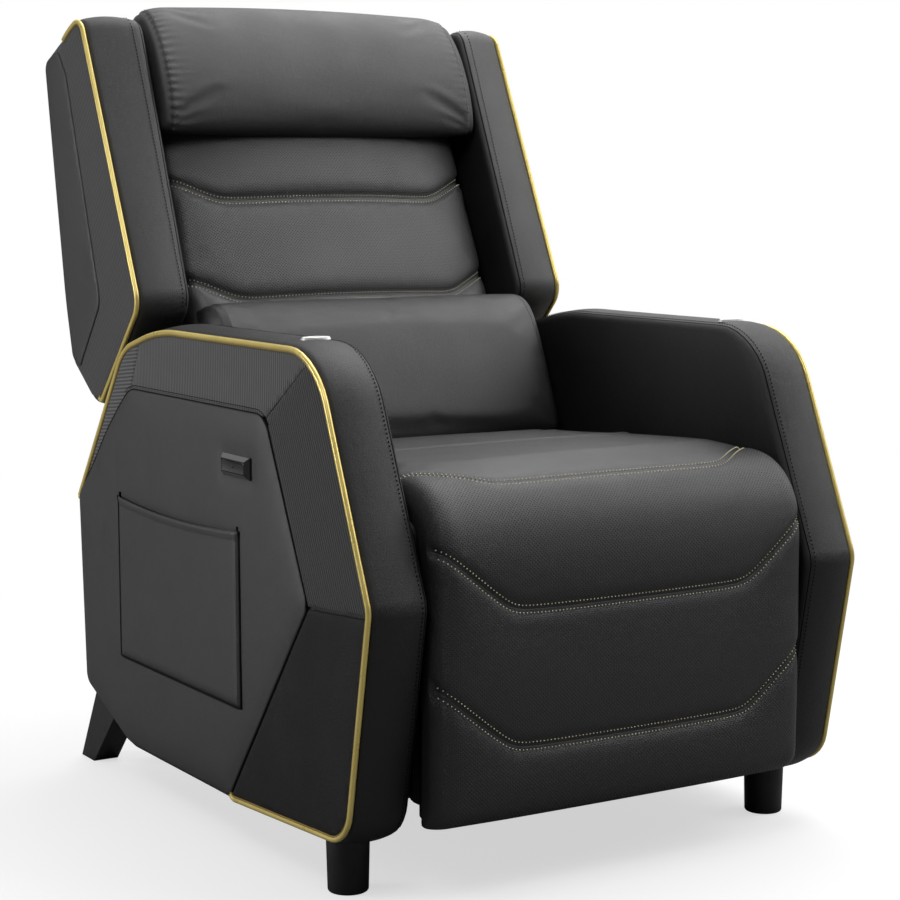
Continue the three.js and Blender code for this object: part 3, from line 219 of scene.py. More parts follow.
# %% Make a finish around one Principled shader
def finish(name, metallic=0.0, **constants):
    """A material with a Principled shader; returns it, its tree, the shader and the Object coordinates."""
    material = bpy.data.materials.new(name)
    material.use_nodes = True
    tree = material.node_tree
    shader = tree.nodes["Principled BSDF"]
    shader.inputs["Metallic"].default_value = metallic
    for label, value in constants.items():
        shader.inputs[label.replace("_", " ").title().replace("Ior", "IOR")].default_value = value
    return material, tree, shader, add(tree, "TexCoord").outputs["Object"]


def linear(*srgb):
    """A colour given as a screen shows it, 0 to 255, as the linear numbers a shader takes."""
    share = [value / 255 for value in srgb]
    return tuple(part / 12.92 if part <= 0.04045 else ((part + 0.055) / 1.055) ** 2.4 for part in share) + (1.0,)


def shades(tree, mask, low, high):
    """Mixes two colours, or links, by a mask."""
    return add(tree, "Mix", {"Factor": mask, 6: low, 7: high}, data_type="RGBA").outputs[2]


def bumps(tree, shader, height, distance):
    made = add(tree, "Bump", {"Height": height, "Distance": distance, "Strength": 1.0})
    tree.links.new(made.outputs["Normal"], shader.inputs["Normal"])


def connect(tree, shader, tone, rough):
    tree.links.new(tone, shader.inputs["Base Color"])
    tree.links.new(rough, shader.inputs["Roughness"])


# %% [markdown]
# ## Leather
# The cover is near-black coated leather with a satin sheen. The plain one covers wings, headrest, pillow
# and rear. The arms take a darker copy of it, as painted shade, and the back a lighter one, as painted
# light; the darkest copy paints shade on the arms' low front panels and the foam boxes, and is the black
# of the rear dust cover. The punched one reads its cushion's own coordinates, a mask that says where the
# panel is punched, and the distance to the nearest sewn line, by which it paints shade into each channel.

# %% Leather finishes
HOLE_BLACK = (0.0015, 0.0015, 0.0015, 1.0)
CHANNEL_SHADE_BLACK = (0.002, 0.002, 0.002, 1.0)


def leather(name, dark, light, gloss, grain_depth=0.00016, shine=0.7, punched=False):
    material, tree, shader, place = finish(name, specular_ior_level=shine)
    pebbles = use(tree, grain, Vector=place)
    tone = shades(tree, pebbles["Tone"], linear(*dark), linear(*light))
    rough = ramp(tree, pebbles["Tone"], 0.3, 0.7, *gloss)
    rough = plus(tree, rough, times(tree, pebbles["Valley"], 0.12))
    height = pebbles["Height"]
    if punched:
        read = {label: add(tree, "Attribute", attribute_name=label).outputs
                for label in ("chart", "punched", "seam")}
        hole = times(tree, use(tree, holes, Vector=read["chart"]["Vector"])["Hole"], read["punched"]["Fac"])
        tone = shades(tree, hole, tone, HOLE_BLACK)
        rough = plus(tree, rough, times(tree, hole, 0.5), clamp=True)
        # Painted shade: each channel is darkened along its centre crease and between its two rows of thread.
        crease = ramp(tree, read["seam"]["Fac"], 1.3, 0.4)
        between_rows = ramp(tree, read["seam"]["Fac"], 4.8, 3.8)
        shadow = calc(tree, "MAXIMUM", times(tree, crease, 0.3), times(tree, between_rows, 0.5))
        tone = shades(tree, shadow, tone, CHANNEL_SHADE_BLACK)
        dips = plus(tree, times(tree, hole, 4.0), times(tree, crease, 2.0))
        height = calc(tree, "SUBTRACT", height, dips)
    connect(tree, shader, tone, rough)
    bumps(tree, shader, height, grain_depth)
    return material


plain_leather = leather("plain_leather", (20, 20, 21), (28, 28, 29), (0.38, 0.47))
# A darker copy of the same leather for the arms: painted shade.
shaded_arm_leather = leather("shaded_arm_leather", (14, 14, 15), (20, 20, 21), (0.38, 0.47), shine=0.5)
side_leather = leather("side_leather", (30, 30, 31), (38, 38, 39), (0.44, 0.54), grain_depth=0.00010)
seat_leather = leather("seat_leather", (20, 20, 21), (28, 28, 29), (0.36, 0.46), punched=True)
# A lighter copy of the same leather for the back: painted light, for the sheen on its panels.
lit_back_leather = leather("lit_back_leather", (38, 38, 39), (48, 48, 49), (0.34, 0.44), shine=0.9, punched=True)
# The darkest copy: painted shade on the arms' low front panels and the foam boxes, and the black of the rear
# dust cover.
black_and_shaded_leather = leather("black_and_shaded_leather", (9, 9, 9), (13, 13, 14), (0.52, 0.62), shine=0.28)
print("leather finishes made")

# %% [markdown]
# ## Ribbed fabric
# The border strips are one cloth, cut in different directions, so each strip turns the same weave its own
# way. Each strip is also its own lighter or darker copy of the cloth, painted light and shade, and the
# grooves between the cords are painted darker as shade.

# %% Ribbed fabric finish
def ribbed(name, across, light, dark):
    material, tree, shader, place = finish(name, sheen_weight=0.12, sheen_roughness=0.5)
    across = Vector(across).normalized()
    along = across.cross(Vector((1, 0, 0))).normalized()
    weave = use(tree, ribs, Vector=place, Across=tuple(across), Along=tuple(along))
    speck = clouds(tree, place, 55.0, 3.0)
    # Painted shade: the grooves between the cords are darkened, mixed with a little random speck.
    mask = plus(tree, times(tree, weave["Groove"], 0.75), times(tree, speck.outputs["Fac"], 0.25))
    tone = shades(tree, mask, linear(*light), linear(*dark))
    connect(tree, shader, tone, ramp(tree, weave["Groove"], 0, 1, 0.62, 0.9))
    bumps(tree, shader, weave["Height"], 0.0006)
    return material


# %% [markdown]
# ## Piping, thread, plastics, metals and wood
# The piping is a satin gold cord cover. The thread of the channels is cream. Plastics, paint and metals
# share the handling marks, and the hidden frame is plywood with long rings.

# %% The other finishes
def handled(name, dark, light, gloss, metallic=0.0, depth=0.00005, scale=30.0, scratched=True, **constants):
    material, tree, shader, place = finish(name, metallic, **constants)
    worn = use(tree, marks, Vector=place, Scale=scale)
    rough = ramp(tree, worn["Cloud"], 0.3, 0.7, gloss - 0.06, gloss + 0.08)
    height = worn["Cloud"]
    if scratched:
        rough = plus(tree, rough, times(tree, worn["Scratch"], 0.08), clamp=True)
        height = plus(tree, height, worn["Scratch"])
    connect(tree, shader, shades(tree, worn["Cloud"], linear(*dark), linear(*light)), rough)
    bumps(tree, shader, height, depth)
    return material


smooth = {"depth": 0.000001, "scale": 10.0, "scratched": False}
gold_piping = handled("gold_piping", (212, 188, 100), (236, 216, 136), 0.3, metallic=0.4, **smooth)
# A darker copy of the piping's gold: painted shade where the strip's edge tucks into the seam.
gold_flange = handled("gold_flange", (120, 100, 42), (150, 128, 60), 0.45, metallic=0.3, **smooth)
cream_thread = handled("cream_thread", (240, 226, 182), (253, 246, 218), 0.5, scale=900.0)
black_thread = handled("black_thread", (30, 30, 30), (46, 46, 46), 0.5, scale=900.0)
grey_thread = handled("grey_thread", (66, 66, 66), (92, 92, 92), 0.5, scale=900.0)
# Black thread for topstitching and bartacks, and painted shade for the dark tubes along creases, panel edges and
# the pocket's sides.
thread_and_shade_line_black = handled("thread_and_shade_line_black", (5, 5, 5), (9, 9, 9), 0.8, scale=400.0, specular_ior_level=0.15)
gloss_black = handled("gloss_black", (22, 22, 23), (30, 30, 31), 0.2, depth=0.00001, coat_weight=0.8)
black_plastic = handled("black_plastic", (18, 18, 19), (28, 28, 29), 0.42, depth=0.0001)
foot_plastic = handled("foot_plastic", (14, 14, 15), (22, 22, 23), 0.45, depth=0.00012, scale=60.0)
bright_metal = handled("bright_metal", (196, 196, 194), (226, 226, 224), 0.42, metallic=0.7)
bright_steel = handled("bright_steel", (150, 152, 155), (190, 192, 195), 0.34, metallic=1.0)
black_steel = handled("black_steel", (24, 24, 26), (36, 36, 38), 0.42, metallic=0.2, depth=0.00008, scale=120.0)


def plywood():
    material, tree, shader, place = finish("plywood")
    rings = add(tree, "Mapping", {"Vector": place, "Scale": (3.0, 60.0, 60.0)}).outputs[0]
    figure = clouds(tree, rings, 1.5, 6.0, Distortion=0.6).outputs["Fac"]
    fibre = clouds(tree, rings, 14.0, 3.0).outputs["Fac"]
    mask = plus(tree, times(tree, figure, 0.7), times(tree, fibre, 0.3))
    tone = shades(tree, ramp(tree, mask, 0.35, 0.65), linear(104, 80, 52), linear(146, 118, 82))
    connect(tree, shader, tone, ramp(tree, fibre, 0.3, 0.7, 0.62, 0.8))
    bumps(tree, shader, mask, 0.0003)
    return material


timber = plywood()
backing = handled("black_backing", (16, 16, 17), (26, 26, 27), 0.8, depth=0.0003, scale=1400.0)
print("finishes made:", len(bpy.data.materials))

# %% [markdown]
# ## Dress the CAD nodes that stay
# Rigid pieces keep their CAD shape and only get a finish: steel, plywood, motors and the inlet.

# %% Assign finishes to CAD nodes
kept = {
    timber: ("seat_rail", "lower_", "back_frame"),
    backing: ("footrest_board",),
    black_steel: ("side_plate", "torque_tube", "recline_tube", "motor_rail", "footrest_bracket", "back_bracket"),
    bright_steel: ("drive_link", "seat_spring", "footrest_rod", "recline_rod"),
    black_plastic: ("footrest_motor", "recline_motor", "power_inlet"),
    foot_plastic: ("rear_leg",),
    gloss_black: ("control_button", "control_bezel"),
}
for name, piece in nodes.items():
    for material, starts in kept.items():
        if name.startswith(starts):
            piece.data.materials.clear()
            piece.data.materials.append(material)


# %% [markdown]
# ## Ways to make a piece
# Each piece starts from one of Blender's own shapes. Three ways cover nearly all of them: a block cut
# into cells and laid along a line, for cushions; a rounded outline pushed out in steps, for arms, wings
# and panels; and a bevelled curve, for piping.

# %% Turn a mesh or a bmesh into a finished piece
TINY = 1e-6


def piece_of(mesh, name, material, body=None, replaces=()):
    mesh.shade_smooth()
    mesh.materials.append(material)
    piece = bpy.data.objects.new(name, mesh)
    bpy.context.scene.collection.objects.link(piece)
    if body:
        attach(piece, body)
    if replaces:
        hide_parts(*replaces)
    return piece


def piece_from(bm, name, material, body=None, replaces=()):
    bmesh.ops.remove_doubles(bm, verts=bm.verts, dist=TINY)
    bmesh.ops.recalc_face_normals(bm, faces=bm.faces)
    mesh = bpy.data.meshes.new(name)
    bm.to_mesh(mesh)
    bm.free()
    return piece_of(mesh, name, material, body, replaces)


def bevel(bm, geom, offset, segments, affect="EDGES"):
    """Rounds edges, or the corners of a face, by offset in mm."""
    bmesh.ops.bevel(bm, geom=geom, offset=offset * MM, offset_type="OFFSET", segments=segments, profile=0.5,
                    affect=affect, material=-1)


def inset(bm, faces, thickness, depth):
    bmesh.ops.inset_region(bm, faces=faces, thickness=thickness * MM, depth=depth * MM, use_even_offset=True)


def block(*counts):
    """A cube from 0 to 1, cut into counts cells along each axis."""
    bm = bmesh.new()
    bmesh.ops.create_cube(bm, size=1.0)
    bmesh.ops.translate(bm, verts=bm.verts, vec=(0.5, 0.5, 0.5))
    for axis, count in enumerate(counts):
        if count > 1:
            along = [edge for edge in bm.edges if abs(edge.verts[0].co[axis] - edge.verts[1].co[axis]) > TINY]
            bmesh.ops.subdivide_edges(bm, edges=along, cuts=count - 1, use_grid_fill=True)
    return bm


def sheet(name, counts, place, material, body, replaces):
    """A thin block whose points are moved to place(a, b, c), in mm."""
    bm = block(*counts)
    for vert in bm.verts:
        vert.co = place(*vert.co) * MM
    return piece_from(bm, name, material, body, replaces)


class Line:
    """A smooth line through points (y, z) in mm, read by the distance along it."""

    FINE = 12
    REACH = 4

    def __init__(self, points):
        points = [Vector(point) for point in points]
        ends = [2 * points[0] - points[1], *points, 2 * points[-1] - points[-2]]
        fine = []
        for a, b, c, d in zip(ends, ends[1:], ends[2:], ends[3:]):
            for step in range(self.FINE):
                t = step / self.FINE
                square, cube = 2 * a - 5 * b + 4 * c - d, 3 * b - a - 3 * c + d
                fine.append(0.5 * (2 * b + (c - a) * t + square * t**2 + cube * t**3))
        fine.append(points[-1])
        self.points = np.array([tuple(point) for point in fine])
        steps = np.linalg.norm(np.diff(self.points, axis=0), axis=1)
        self.places = np.concatenate([[0], np.cumsum(steps)])
        self.length = float(self.places[-1])

    def at(self, place):
        return Vector([float(np.interp(place, self.places, self.points[:, axis])) for axis in (0, 1)])

    def out(self, place):
        """The direction that points out of a cover laid rear to front."""
        ahead, behind = min(place + self.REACH, self.length), max(place - self.REACH, 0)
        along = (self.at(ahead) - self.at(behind)).normalized()
        return Vector((-along.y, along.x)) * -1


def steps_between(stops, spacing):
    """Places from the first stop to the last, evenly spaced between each pair, with every stop among them."""
    places = []
    for low, high in zip(stops, stops[1:]):
        count = max(1, round((high - low) / spacing))
        places += [low + (high - low) * index / count for index in range(count)]
    return [*places, stops[-1]]


def edge_drop(inside, radius):
    """How far a cushion's face falls near its edge, on a quarter circle of that radius."""
    reach = max(0.0, radius - max(0.0, inside))
    return radius - math.sqrt(max(0.0, radius**2 - reach**2))


def within(value):
    """Holds a share between 0 and 1."""
    return max(0.0, min(1.0, value))


# %% [markdown]
# ### Padding by simulation
# A real cushion is a tight cover over foam. Each cushion is made a little slim, its back and its sewn
# lines are held, and cloth under air pressure swells between them, which gives the soft rise from seam to
# seam that no formula quite has. How far a point may move is capped, so the cushion stays in the space
# that its CAD solid holds.

# %% Read and move the points of a mesh
def vectors_of(items, label="co"):
    read = np.zeros(len(items) * 3, np.float32)
    items.foreach_get(label, read)
    return read.reshape(-1, 3)


def values_of(piece, name):
    """A cushion's own value at each point."""
    data = piece.data.attributes[name].data
    read = np.zeros(len(data), np.float32)
    data.foreach_get("value", read)
    return read


def press(piece, depth):
    """Moves each point of the outer face in along its normal, by its own depth in mm."""
    points = piece.data.vertices
    depth = depth * (values_of(piece, "outer") > 0.9)
    moved = vectors_of(points) - vectors_of(points, "normal") * depth[:, None] * MM
    points.foreach_set("co", moved.ravel())
    piece.data.update()


# %% Swell a cushion
CLOTH = {
    "quality": 5, "mass": 0.3, "tension_stiffness": 15, "compression_stiffness": 15, "bending_stiffness": 1.5,
    "use_pressure": True, "vertex_group_mass": "held",
}
CLOTH_FRAMES = 16


def swell(piece, held, pressure, cap, slack=0.0):
    """Blows the cover up between the held points; none moves by more than cap in mm."""
    scene = bpy.context.scene
    group = piece.vertex_groups.new(name="held")
    group.add([index for index, hold in enumerate(held) if hold], 1.0, "ADD")
    cloth = piece.modifiers.new("swell", "CLOTH")
    for label, value in {**CLOTH, "uniform_pressure_force": pressure, "shrink_min": -slack}.items():
        setattr(cloth.settings, label, value)
    cloth.settings.effector_weights.gravity = 0
    cloth.collision_settings.use_collision = False
    cloth.point_cache.frame_start, cloth.point_cache.frame_end = 1, CLOTH_FRAMES
    for number in range(1, CLOTH_FRAMES + 1):
        scene.frame_set(number)
    before = vectors_of(piece.data.vertices)
    after = vectors_of(piece.evaluated_get(bpy.context.evaluated_depsgraph_get()).data.vertices)
    piece.modifiers.remove(cloth)
    piece.vertex_groups.remove(group)
    scene.frame_set(1)
    shift = after - before
    length = np.maximum(np.linalg.norm(shift, axis=1, keepdims=True), 1e-9)
    shift *= np.minimum(1.0, cap * MM / length)
    piece.data.vertices.foreach_set("co", (before + shift).ravel())
    print(piece.name, "swelled by up to", round(float(length.max()) * 1000, 1), "mm, capped at", cap)


def refine(piece):
    """Replaces a piece's mesh by its own subdivision surface, with its attributes carried along."""
    soft = piece.modifiers.new("refine", "SUBSURF")
    soft.levels = soft.render_levels = 1
    made = bpy.data.meshes.new_from_object(piece.evaluated_get(bpy.context.evaluated_depsgraph_get()))
    piece.modifiers.remove(soft)
    old, piece.data = piece.data, made
    bpy.data.meshes.remove(old)
    made.name = piece.name
    made.shade_smooth()


# %% [markdown]
# ### Cushions with sewn channels
# A cushion is a block of cells laid along a line. Its rows bend up at the sides where the channels do, so
# that a row of cells runs exactly along each channel. Every point keeps its place on the leather, across
# and along, in an attribute.

# %% A cushion laid along a line
CELL = 7.5
FAR_FROM_SEAMS = 30.0
PUNCHED_MARGIN = 12


def none_of(*_):
    return 0.0


def cushion(name, material, half_width, places, place, across, deep, lift=none_of, punched=none_of, seams=()):
    """place(x, along, depth) gives a point in mm; lift(along, x) moves a row along the leather there."""
    bm = block(len(places) - 1, across, deep)
    chart = bm.verts.layers.float_vector.new("chart")
    row, outer, zone, seam = [bm.verts.layers.float.new(label) for label in ("row", "outer", "punched", "seam")]
    for vert in bm.verts:
        a, b, c = vert.co
        along = places[round(a * (len(places) - 1))]
        x = half_width * math.sin((b - 0.5) * math.pi) * 0.25 + half_width * (2 * b - 1) * 0.75
        real = along + lift(along, x)
        vert[chart], vert[row], vert[outer] = Vector((x, real, 0)) * MM, along, c
        face = c > 0.99
        vert[zone] = punched(along) if face and half_width - abs(x) > PUNCHED_MARGIN else 0.0
        nearest = min([FAR_FROM_SEAMS, *(abs(along - spot) for spot in seams)])
        vert[seam] = nearest if face else FAR_FROM_SEAMS
        vert.co = place(x, real, c) * MM
    return piece_from(bm, name, material)


def free_of(piece, seams):
    """Which points swelling leaves alone: all but the outer face, and the sewn rows of it."""
    rows, outer = values_of(piece, "row"), values_of(piece, "outer")
    sewn = np.min([np.abs(rows - seam) for seam in seams], axis=0) < 0.5 if len(seams) else rows < -1e6
    return (outer < 0.9) | sewn


def channels(piece, depth=6.0, band=5.0, shoulder=26.0):
    """Presses the sewn channels in: a flat band for both rows of thread, with round shoulders."""
    share = np.clip((values_of(piece, "seam") - band) / (shoulder - band), 0, 1)
    press(piece, depth * (1 - np.sqrt(1 - (1 - share) ** 2)))


# %% [markdown]
# ### Stitches
# A stitch is a short thread lying half sunk in the leather. One small capsule is made by operators and
# repeated along each row; a ray finds the cover under each stitch, so that rows follow every swell.

# %% One capsule, and the surfaces to sew on
def surface_of(*pieces):
    graph = bpy.context.evaluated_depsgraph_get()
    return [BVHTree.FromObject(piece, graph) for piece in pieces]


bm = bmesh.new()
bmesh.ops.create_uvsphere(bm, u_segments=6, v_segments=4, radius=1.0)
capsule_points = np.array([vert.co[:] for vert in bm.verts])
bm.verts.index_update()
capsule_faces = [[vert.index for vert in face.verts] for face in bm.faces]
bm.free()

# %% Stitches along a path
# Pitch, length of a stitch and half its width, in mm.
CHANNEL_STITCH = (4.9, 1.5, 0.8)
BAND_STITCH = (5.0, 2.4, 0.8)
HEM_STITCH = (5.5, 3.6, 0.5)
PANEL_STITCH = (4.5, 3.0, 0.4)
REAR_STITCH = (5.5, 3.6, 0.45)
STITCH_SINK = 0.2
RAY_REACH = 45.0


def landing(path, place, run, surfaces):
    """The nearest spot of the surfaces beside a place on a path, and the outward direction there."""
    index = min(int(np.searchsorted(run, place)) - 1, len(path) - 2)
    share = (place - run[index]) / max(run[index + 1] - run[index], 1e-9)
    (point, out), (next_point, next_out) = path[index:index + 2]
    start = point.lerp(next_point, share)
    out = out.lerp(next_out, share).normalized()
    hits = [tree.ray_cast((start + out * RAY_REACH) * MM, -out, 3 * RAY_REACH * MM) for tree in surfaces]
    hits = [(hit[3], hit[0] * 1000, hit[1]) for hit in hits if hit[0] is not None]
    return (min(hits, key=lambda hit: hit[0])[1:], out) if hits else None


def stitches(name, material, paths, surfaces, size=CHANNEL_STITCH, body=None):
    """Each path is a list of (point, outward) in mm; stitches lie on the surfaces under it."""
    pitch, length, width = size
    points, faces = [], []
    for path in paths:
        path = [(Vector(point), Vector(out).normalized()) for point, out in path]
        run = np.concatenate([[0], np.cumsum([(b - a).length for (a, _), (b, _) in zip(path, path[1:])])])
        landed = [landing(path, place, run, surfaces) for place in np.arange(pitch / 2, run[-1], pitch)]
        for before, here, after in zip([None, *landed], landed, [*landed[1:], None]):
            near = after or before
            if here is None or near is None or (near[0][0] - here[0][0]).length > 3 * pitch:
                continue
            (spot, normal), out = here
            along = (near[0][0] - spot).normalized() * (1 if after else -1)
            if normal.dot(out) < 0:
                normal = -normal
            normal = (normal - along * normal.dot(along)).normalized()
            turn = Matrix((along * length / 2, normal.cross(along) * width, normal * width)).transposed()
            first = len(points)
            centre = spot + normal * (width - STITCH_SINK)
            points += [(turn @ Vector(corner) + centre) * MM for corner in capsule_points]
            faces += [[first + index for index in face] for face in capsule_faces]
    mesh = bpy.data.meshes.new(name)
    mesh.from_pydata(points, [], faces)
    print(name, len(points) // len(capsule_points), "stitches")
    return piece_of(mesh, name, material, body)


# %% [markdown]
# ### Outlines pushed out in steps
# An arm or wing is a board with one outline, wrapped in leather. The outline is a face with rounded
# corners; it is extruded in steps, and grows or shrinks a little at each, which gives the rounded edges
# and the crown of the band. Its two sides are then cut into cells, and each point is raised by its
# distance from the edge, so they rise softly.

# %% Outlines
LONGEST_EDGE, EDGE_PART = 0.024, 0.018


def outline_face(corners, x):
    """A face at x through corners (y, z, cut), each corner cut back by that much and rounded."""
    bm = bmesh.new()
    verts = [bm.verts.new((x * MM, y * MM, z * MM)) for y, z, _ in corners]
    bm.faces.new(verts)
    for vert, (_, _, cut) in zip(verts, corners):
        if cut:
            bevel(bm, [vert], cut, 7, "VERTICES")
    for edge in [edge for edge in bm.edges if edge.calc_length() > LONGEST_EDGE]:
        bmesh.ops.subdivide_edges(bm, edges=[edge], cuts=int(edge.calc_length() / EDGE_PART))
    return bm


def outward(points):
    """The outward direction at each point of a closed outline."""
    turn = 1 if sum(a.x * b.y - b.x * a.y for a, b in zip(points, points[1:] + points[:1])) > 0 else -1
    outs = []
    for before, after in zip(points[-1:] + points[:-1], points[1:] + points[:1]):
        along = (after - before).normalized()
        outs.append(Vector((along.y, -along.x)) * turn)
    return outs


def loop_of(corners):
    """The rounded outline's points (y, z) in mm, in order, with their outward directions."""
    bm = outline_face(corners, 0.0)
    bm.faces.ensure_lookup_table()
    points = [Vector((vert.co.y, vert.co.z)) * 1000 for vert in bm.faces[0].verts]
    bm.free()
    return points, outward(points)


def part_of_loop(points, outs, start, end):
    """The stretch of the outline between the points nearest to start and end, in the order of the corners."""
    first, last = [min(range(len(points)), key=lambda index: (points[index] - Vector(spot)).length)
                   for spot in (start, end)]
    order = range(first, last + 1) if first <= last else [*range(first, len(points)), *range(last + 1)]
    return [points[index] for index in order], [outs[index] for index in order]


def row_at(points, outs, x):
    """A path of stitches along an outline, at x."""
    return [(Vector((x, *point)), Vector((0, *out))) for point, out in zip(points, outs)]


# %% Boards with padded sides
def shift_ring(ring, x, growth):
    """Moves a ring of vertices out along its own outline by growth in mm, and to x."""
    for vert, out in zip(ring, outward([Vector((vert.co.y, vert.co.z)) for vert in ring])):
        vert.co += Vector((0, *out)) * growth * MM
        vert.co.x = x * MM


def pad_face(bm, face, way, height, cell):
    """Cuts a flat face into cells, and raises each point by height(y, z, distance from the edge) in mm."""
    rim = np.array([(vert.co.y, vert.co.z) for vert in face.verts]) * 1000
    run = np.roll(rim, -1, axis=0) - rim
    region = [face, *face.verts, *face.edges]
    for low, high, direction in zip(rim.min(axis=0), rim.max(axis=0), ((0, 1, 0), (0, 0, 1))):
        for place in np.arange(low + cell * 0.6, high - cell * 0.3, cell):
            spot = Vector(direction) * float(place) * MM
            cut = bmesh.ops.bisect_plane(bm, geom=region, plane_co=spot, plane_no=direction, dist=2e-5)
            region = cut["geom"]
    for vert in {item for item in region if isinstance(item, bmesh.types.BMVert)}:
        spot = np.array((vert.co.y, vert.co.z)) * 1000
        share = np.clip(((spot - rim) * run).sum(axis=1) / (run**2).sum(axis=1), 0, 1)
        away = float(np.linalg.norm(rim + run * share[:, None] - spot, axis=1).min())
        vert.co.x += way * height(float(spot[0]), float(spot[1]), away) * MM


def puff(rise, reach):
    return lambda y, z, away: rise * (1 - math.exp(-away / reach))


def slacken(bm, slack):
    """Leather is never quite even: moves every point a little, by slow waves."""
    for vert in bm.verts:
        wave = noise.noise(vert.co * 9.0) + 0.5 * noise.noise(vert.co * 23.0)
        vert.co += Vector((0.6, 1, 1)) * wave * slack * MM * 0.6


def board(name, corners, steps, material, body, replaces=(), inner=None, outer=None, cell=9.0, slack=0.0,
          side=1, reshape=None):
    """steps are (x, growth) from one side to the other; inner and outer raise the two sides' cells."""
    bm = outline_face(corners, steps[0][0])
    bm.faces.ensure_lookup_table()
    cap = bm.faces[0]
    ring = list(cap.verts)
    shift_ring(ring, *steps[0])
    for number, ((_, before), (x, growth)) in enumerate(zip(steps, steps[1:])):
        made = bmesh.ops.extrude_face_region(bm, geom=[cap])
        if number and cap.is_valid:
            bmesh.ops.delete(bm, geom=[cap], context="FACES_ONLY")
        cap = next(item for item in made["geom"] if isinstance(item, bmesh.types.BMFace))
        shift_ring(list(cap.verts), x, growth - before)
    first = bm.faces.get(ring) or bm.faces.new(ring)
    for face, way, height in ((first, -1, inner), (cap, 1, outer)):
        if height:
            pad_face(bm, face, way, height, cell)
    if reshape:
        for vert in bm.verts:
            vert.co = reshape(*(vert.co * 1000)) * MM
    if slack:
        slacken(bm, slack)
    if side < 0:
        bmesh.ops.scale(bm, verts=bm.verts, vec=(-1, 1, 1))
    return piece_from(bm, name, material, body, replaces)


def tube(name, path, radius, material, body, replaces=()):
    """A bevelled curve through points in mm, made a mesh."""
    curve = bpy.data.curves.new(name, "CURVE")
    curve.dimensions, curve.use_fill_caps = "3D", True
    curve.bevel_depth, curve.bevel_resolution = radius * MM, 4
    spline = curve.splines.new("POLY")
    spline.points.add(len(path) - 1)
    for point, place in zip(spline.points, path):
        point.co = (*(Vector(place) * MM), 1.0)
    holder = bpy.data.objects.new(name + "_path", curve)
    bm = bmesh.new()
    bm.from_mesh(bpy.data.meshes.new_from_object(holder))
    bpy.data.objects.remove(holder)
    return piece_from(bm, name, material, body, replaces)


# %% [markdown]
# ## The seat and footrest cover
# One leather cover runs from the rear of the seat over the roll and down the front of the footrest. It
# could be two covers that slide past each other, but the photograph shows one, so it is one cushion.
# Three channels cross it, each rising at the sides.

# %% Cover the seat and footrest
SEAT_HALF = 263.5
SEAT_RUN, SEAT_RISE, SEAT_DEEP = 168.0, 78.0, 44.0
SEAT_SEAM_SPOTS = ((-424, 473.5), (-471, 334), (-471, 176))
FOLD_Y = -182
seat_line = Line([
    (76, 455), (40, 462), (-60, 469), (-160, 475), (-260, 480), (-330, 483), (-375, 484), (-402, 481.5),
    (-422, 474.5), (-439, 463), (-453, 448), (-463, 430), (-468.5, 409), (-470.5, 385), (-471, 330),
    (-471.5, 260), (-471.5, 190), (-470.5, 130), (-470, 88),
])


def seat_place_near(distance):
    """The place along the seat's line where distance(point) is least."""
    return min(np.arange(0, seat_line.length, 0.5), key=lambda place: distance(seat_line.at(place)))


seat_seams = [seat_place_near(lambda point: (point - Vector(spot)).length) for spot in SEAT_SEAM_SPOTS]
seat_places = steps_between([0, *seat_seams, seat_line.length], CELL)


def bow(x, half):
    """1 in the middle and 0 at the sides."""
    return 1 - (x / half) ** 2


def chevron(x, run, half):
    """0 in the middle and 1 at the sides, with a rounded corner at run."""
    past = abs(x) - run
    return 0.5 * (past + math.hypot(past, 14)) / (half - run)


def seat_lift(along, x):
    to_end = (seat_line.length - along) / (seat_line.length - seat_seams[2])
    fade = min(1.0, along / seat_seams[0], max(0.0, to_end))
    return -SEAT_RISE * fade * chevron(x, SEAT_RUN, SEAT_HALF)


def seat_place(x, along, c):
    spot, out = seat_line.at(along), seat_line.out(along)
    ends = edge_drop(along, 14) + edge_drop(seat_line.length - along, 22)
    drop = edge_drop(SEAT_HALF - abs(x), 24) + ends - 4.0 * bow(x, SEAT_HALF)
    return Vector((x, *(spot - out * (min(drop, 40) * c + SEAT_DEEP * (1 - c)))))


def zone_of(seams, gap=5.5):
    """Where a cushion is punched: past its first channel, and not within a channel."""
    def punched(along):
        nearest = min(abs(along - seam) for seam in seams)
        return 1.0 if along > seams[0] + gap and nearest > gap else 0.0
    return punched


seat_cover = cushion("seat_cover", seat_leather, SEAT_HALF, seat_places, seat_place, 64, 4, seat_lift,
                     zone_of(seat_seams), seat_seams)
swell(seat_cover, free_of(seat_cover, seat_seams), 2.6, 7)
refine(seat_cover)
channels(seat_cover, depth=3.4, shoulder=20.0)
# A low fold of leather runs across the seat at FOLD_Y.
fold_at = seat_place_near(lambda point: abs(point.x - FOLD_Y))
press(seat_cover, -1.8 * np.exp(-(((values_of(seat_cover, "row") - fold_at) / 5) ** 2)))
print("cover:", len(seat_cover.data.polygons), "faces, channels at", [round(float(seam)) for seam in seat_seams])

# %% Sew its channels
THREAD_OFFSETS = (-4.6, 4.6)
THREAD_MARGIN = 5.0


def thread_rows(place, half, seams, out_of, lift):
    """Two rows of thread beside each channel, which follow its rise at the sides."""
    rows = []
    for seam in seams:
        for offset in THREAD_OFFSETS:
            path = []
            for x in np.linspace(-half + THREAD_MARGIN, half - THREAD_MARGIN, 120):
                slope = (lift(seam, x + 1) - lift(seam, x - 1)) / 2
                along = seam + lift(seam, x) + offset * math.hypot(1, slope)
                path.append((place(float(x), float(along), 1.0), out_of(float(along))))
            rows.append(path)
    return rows


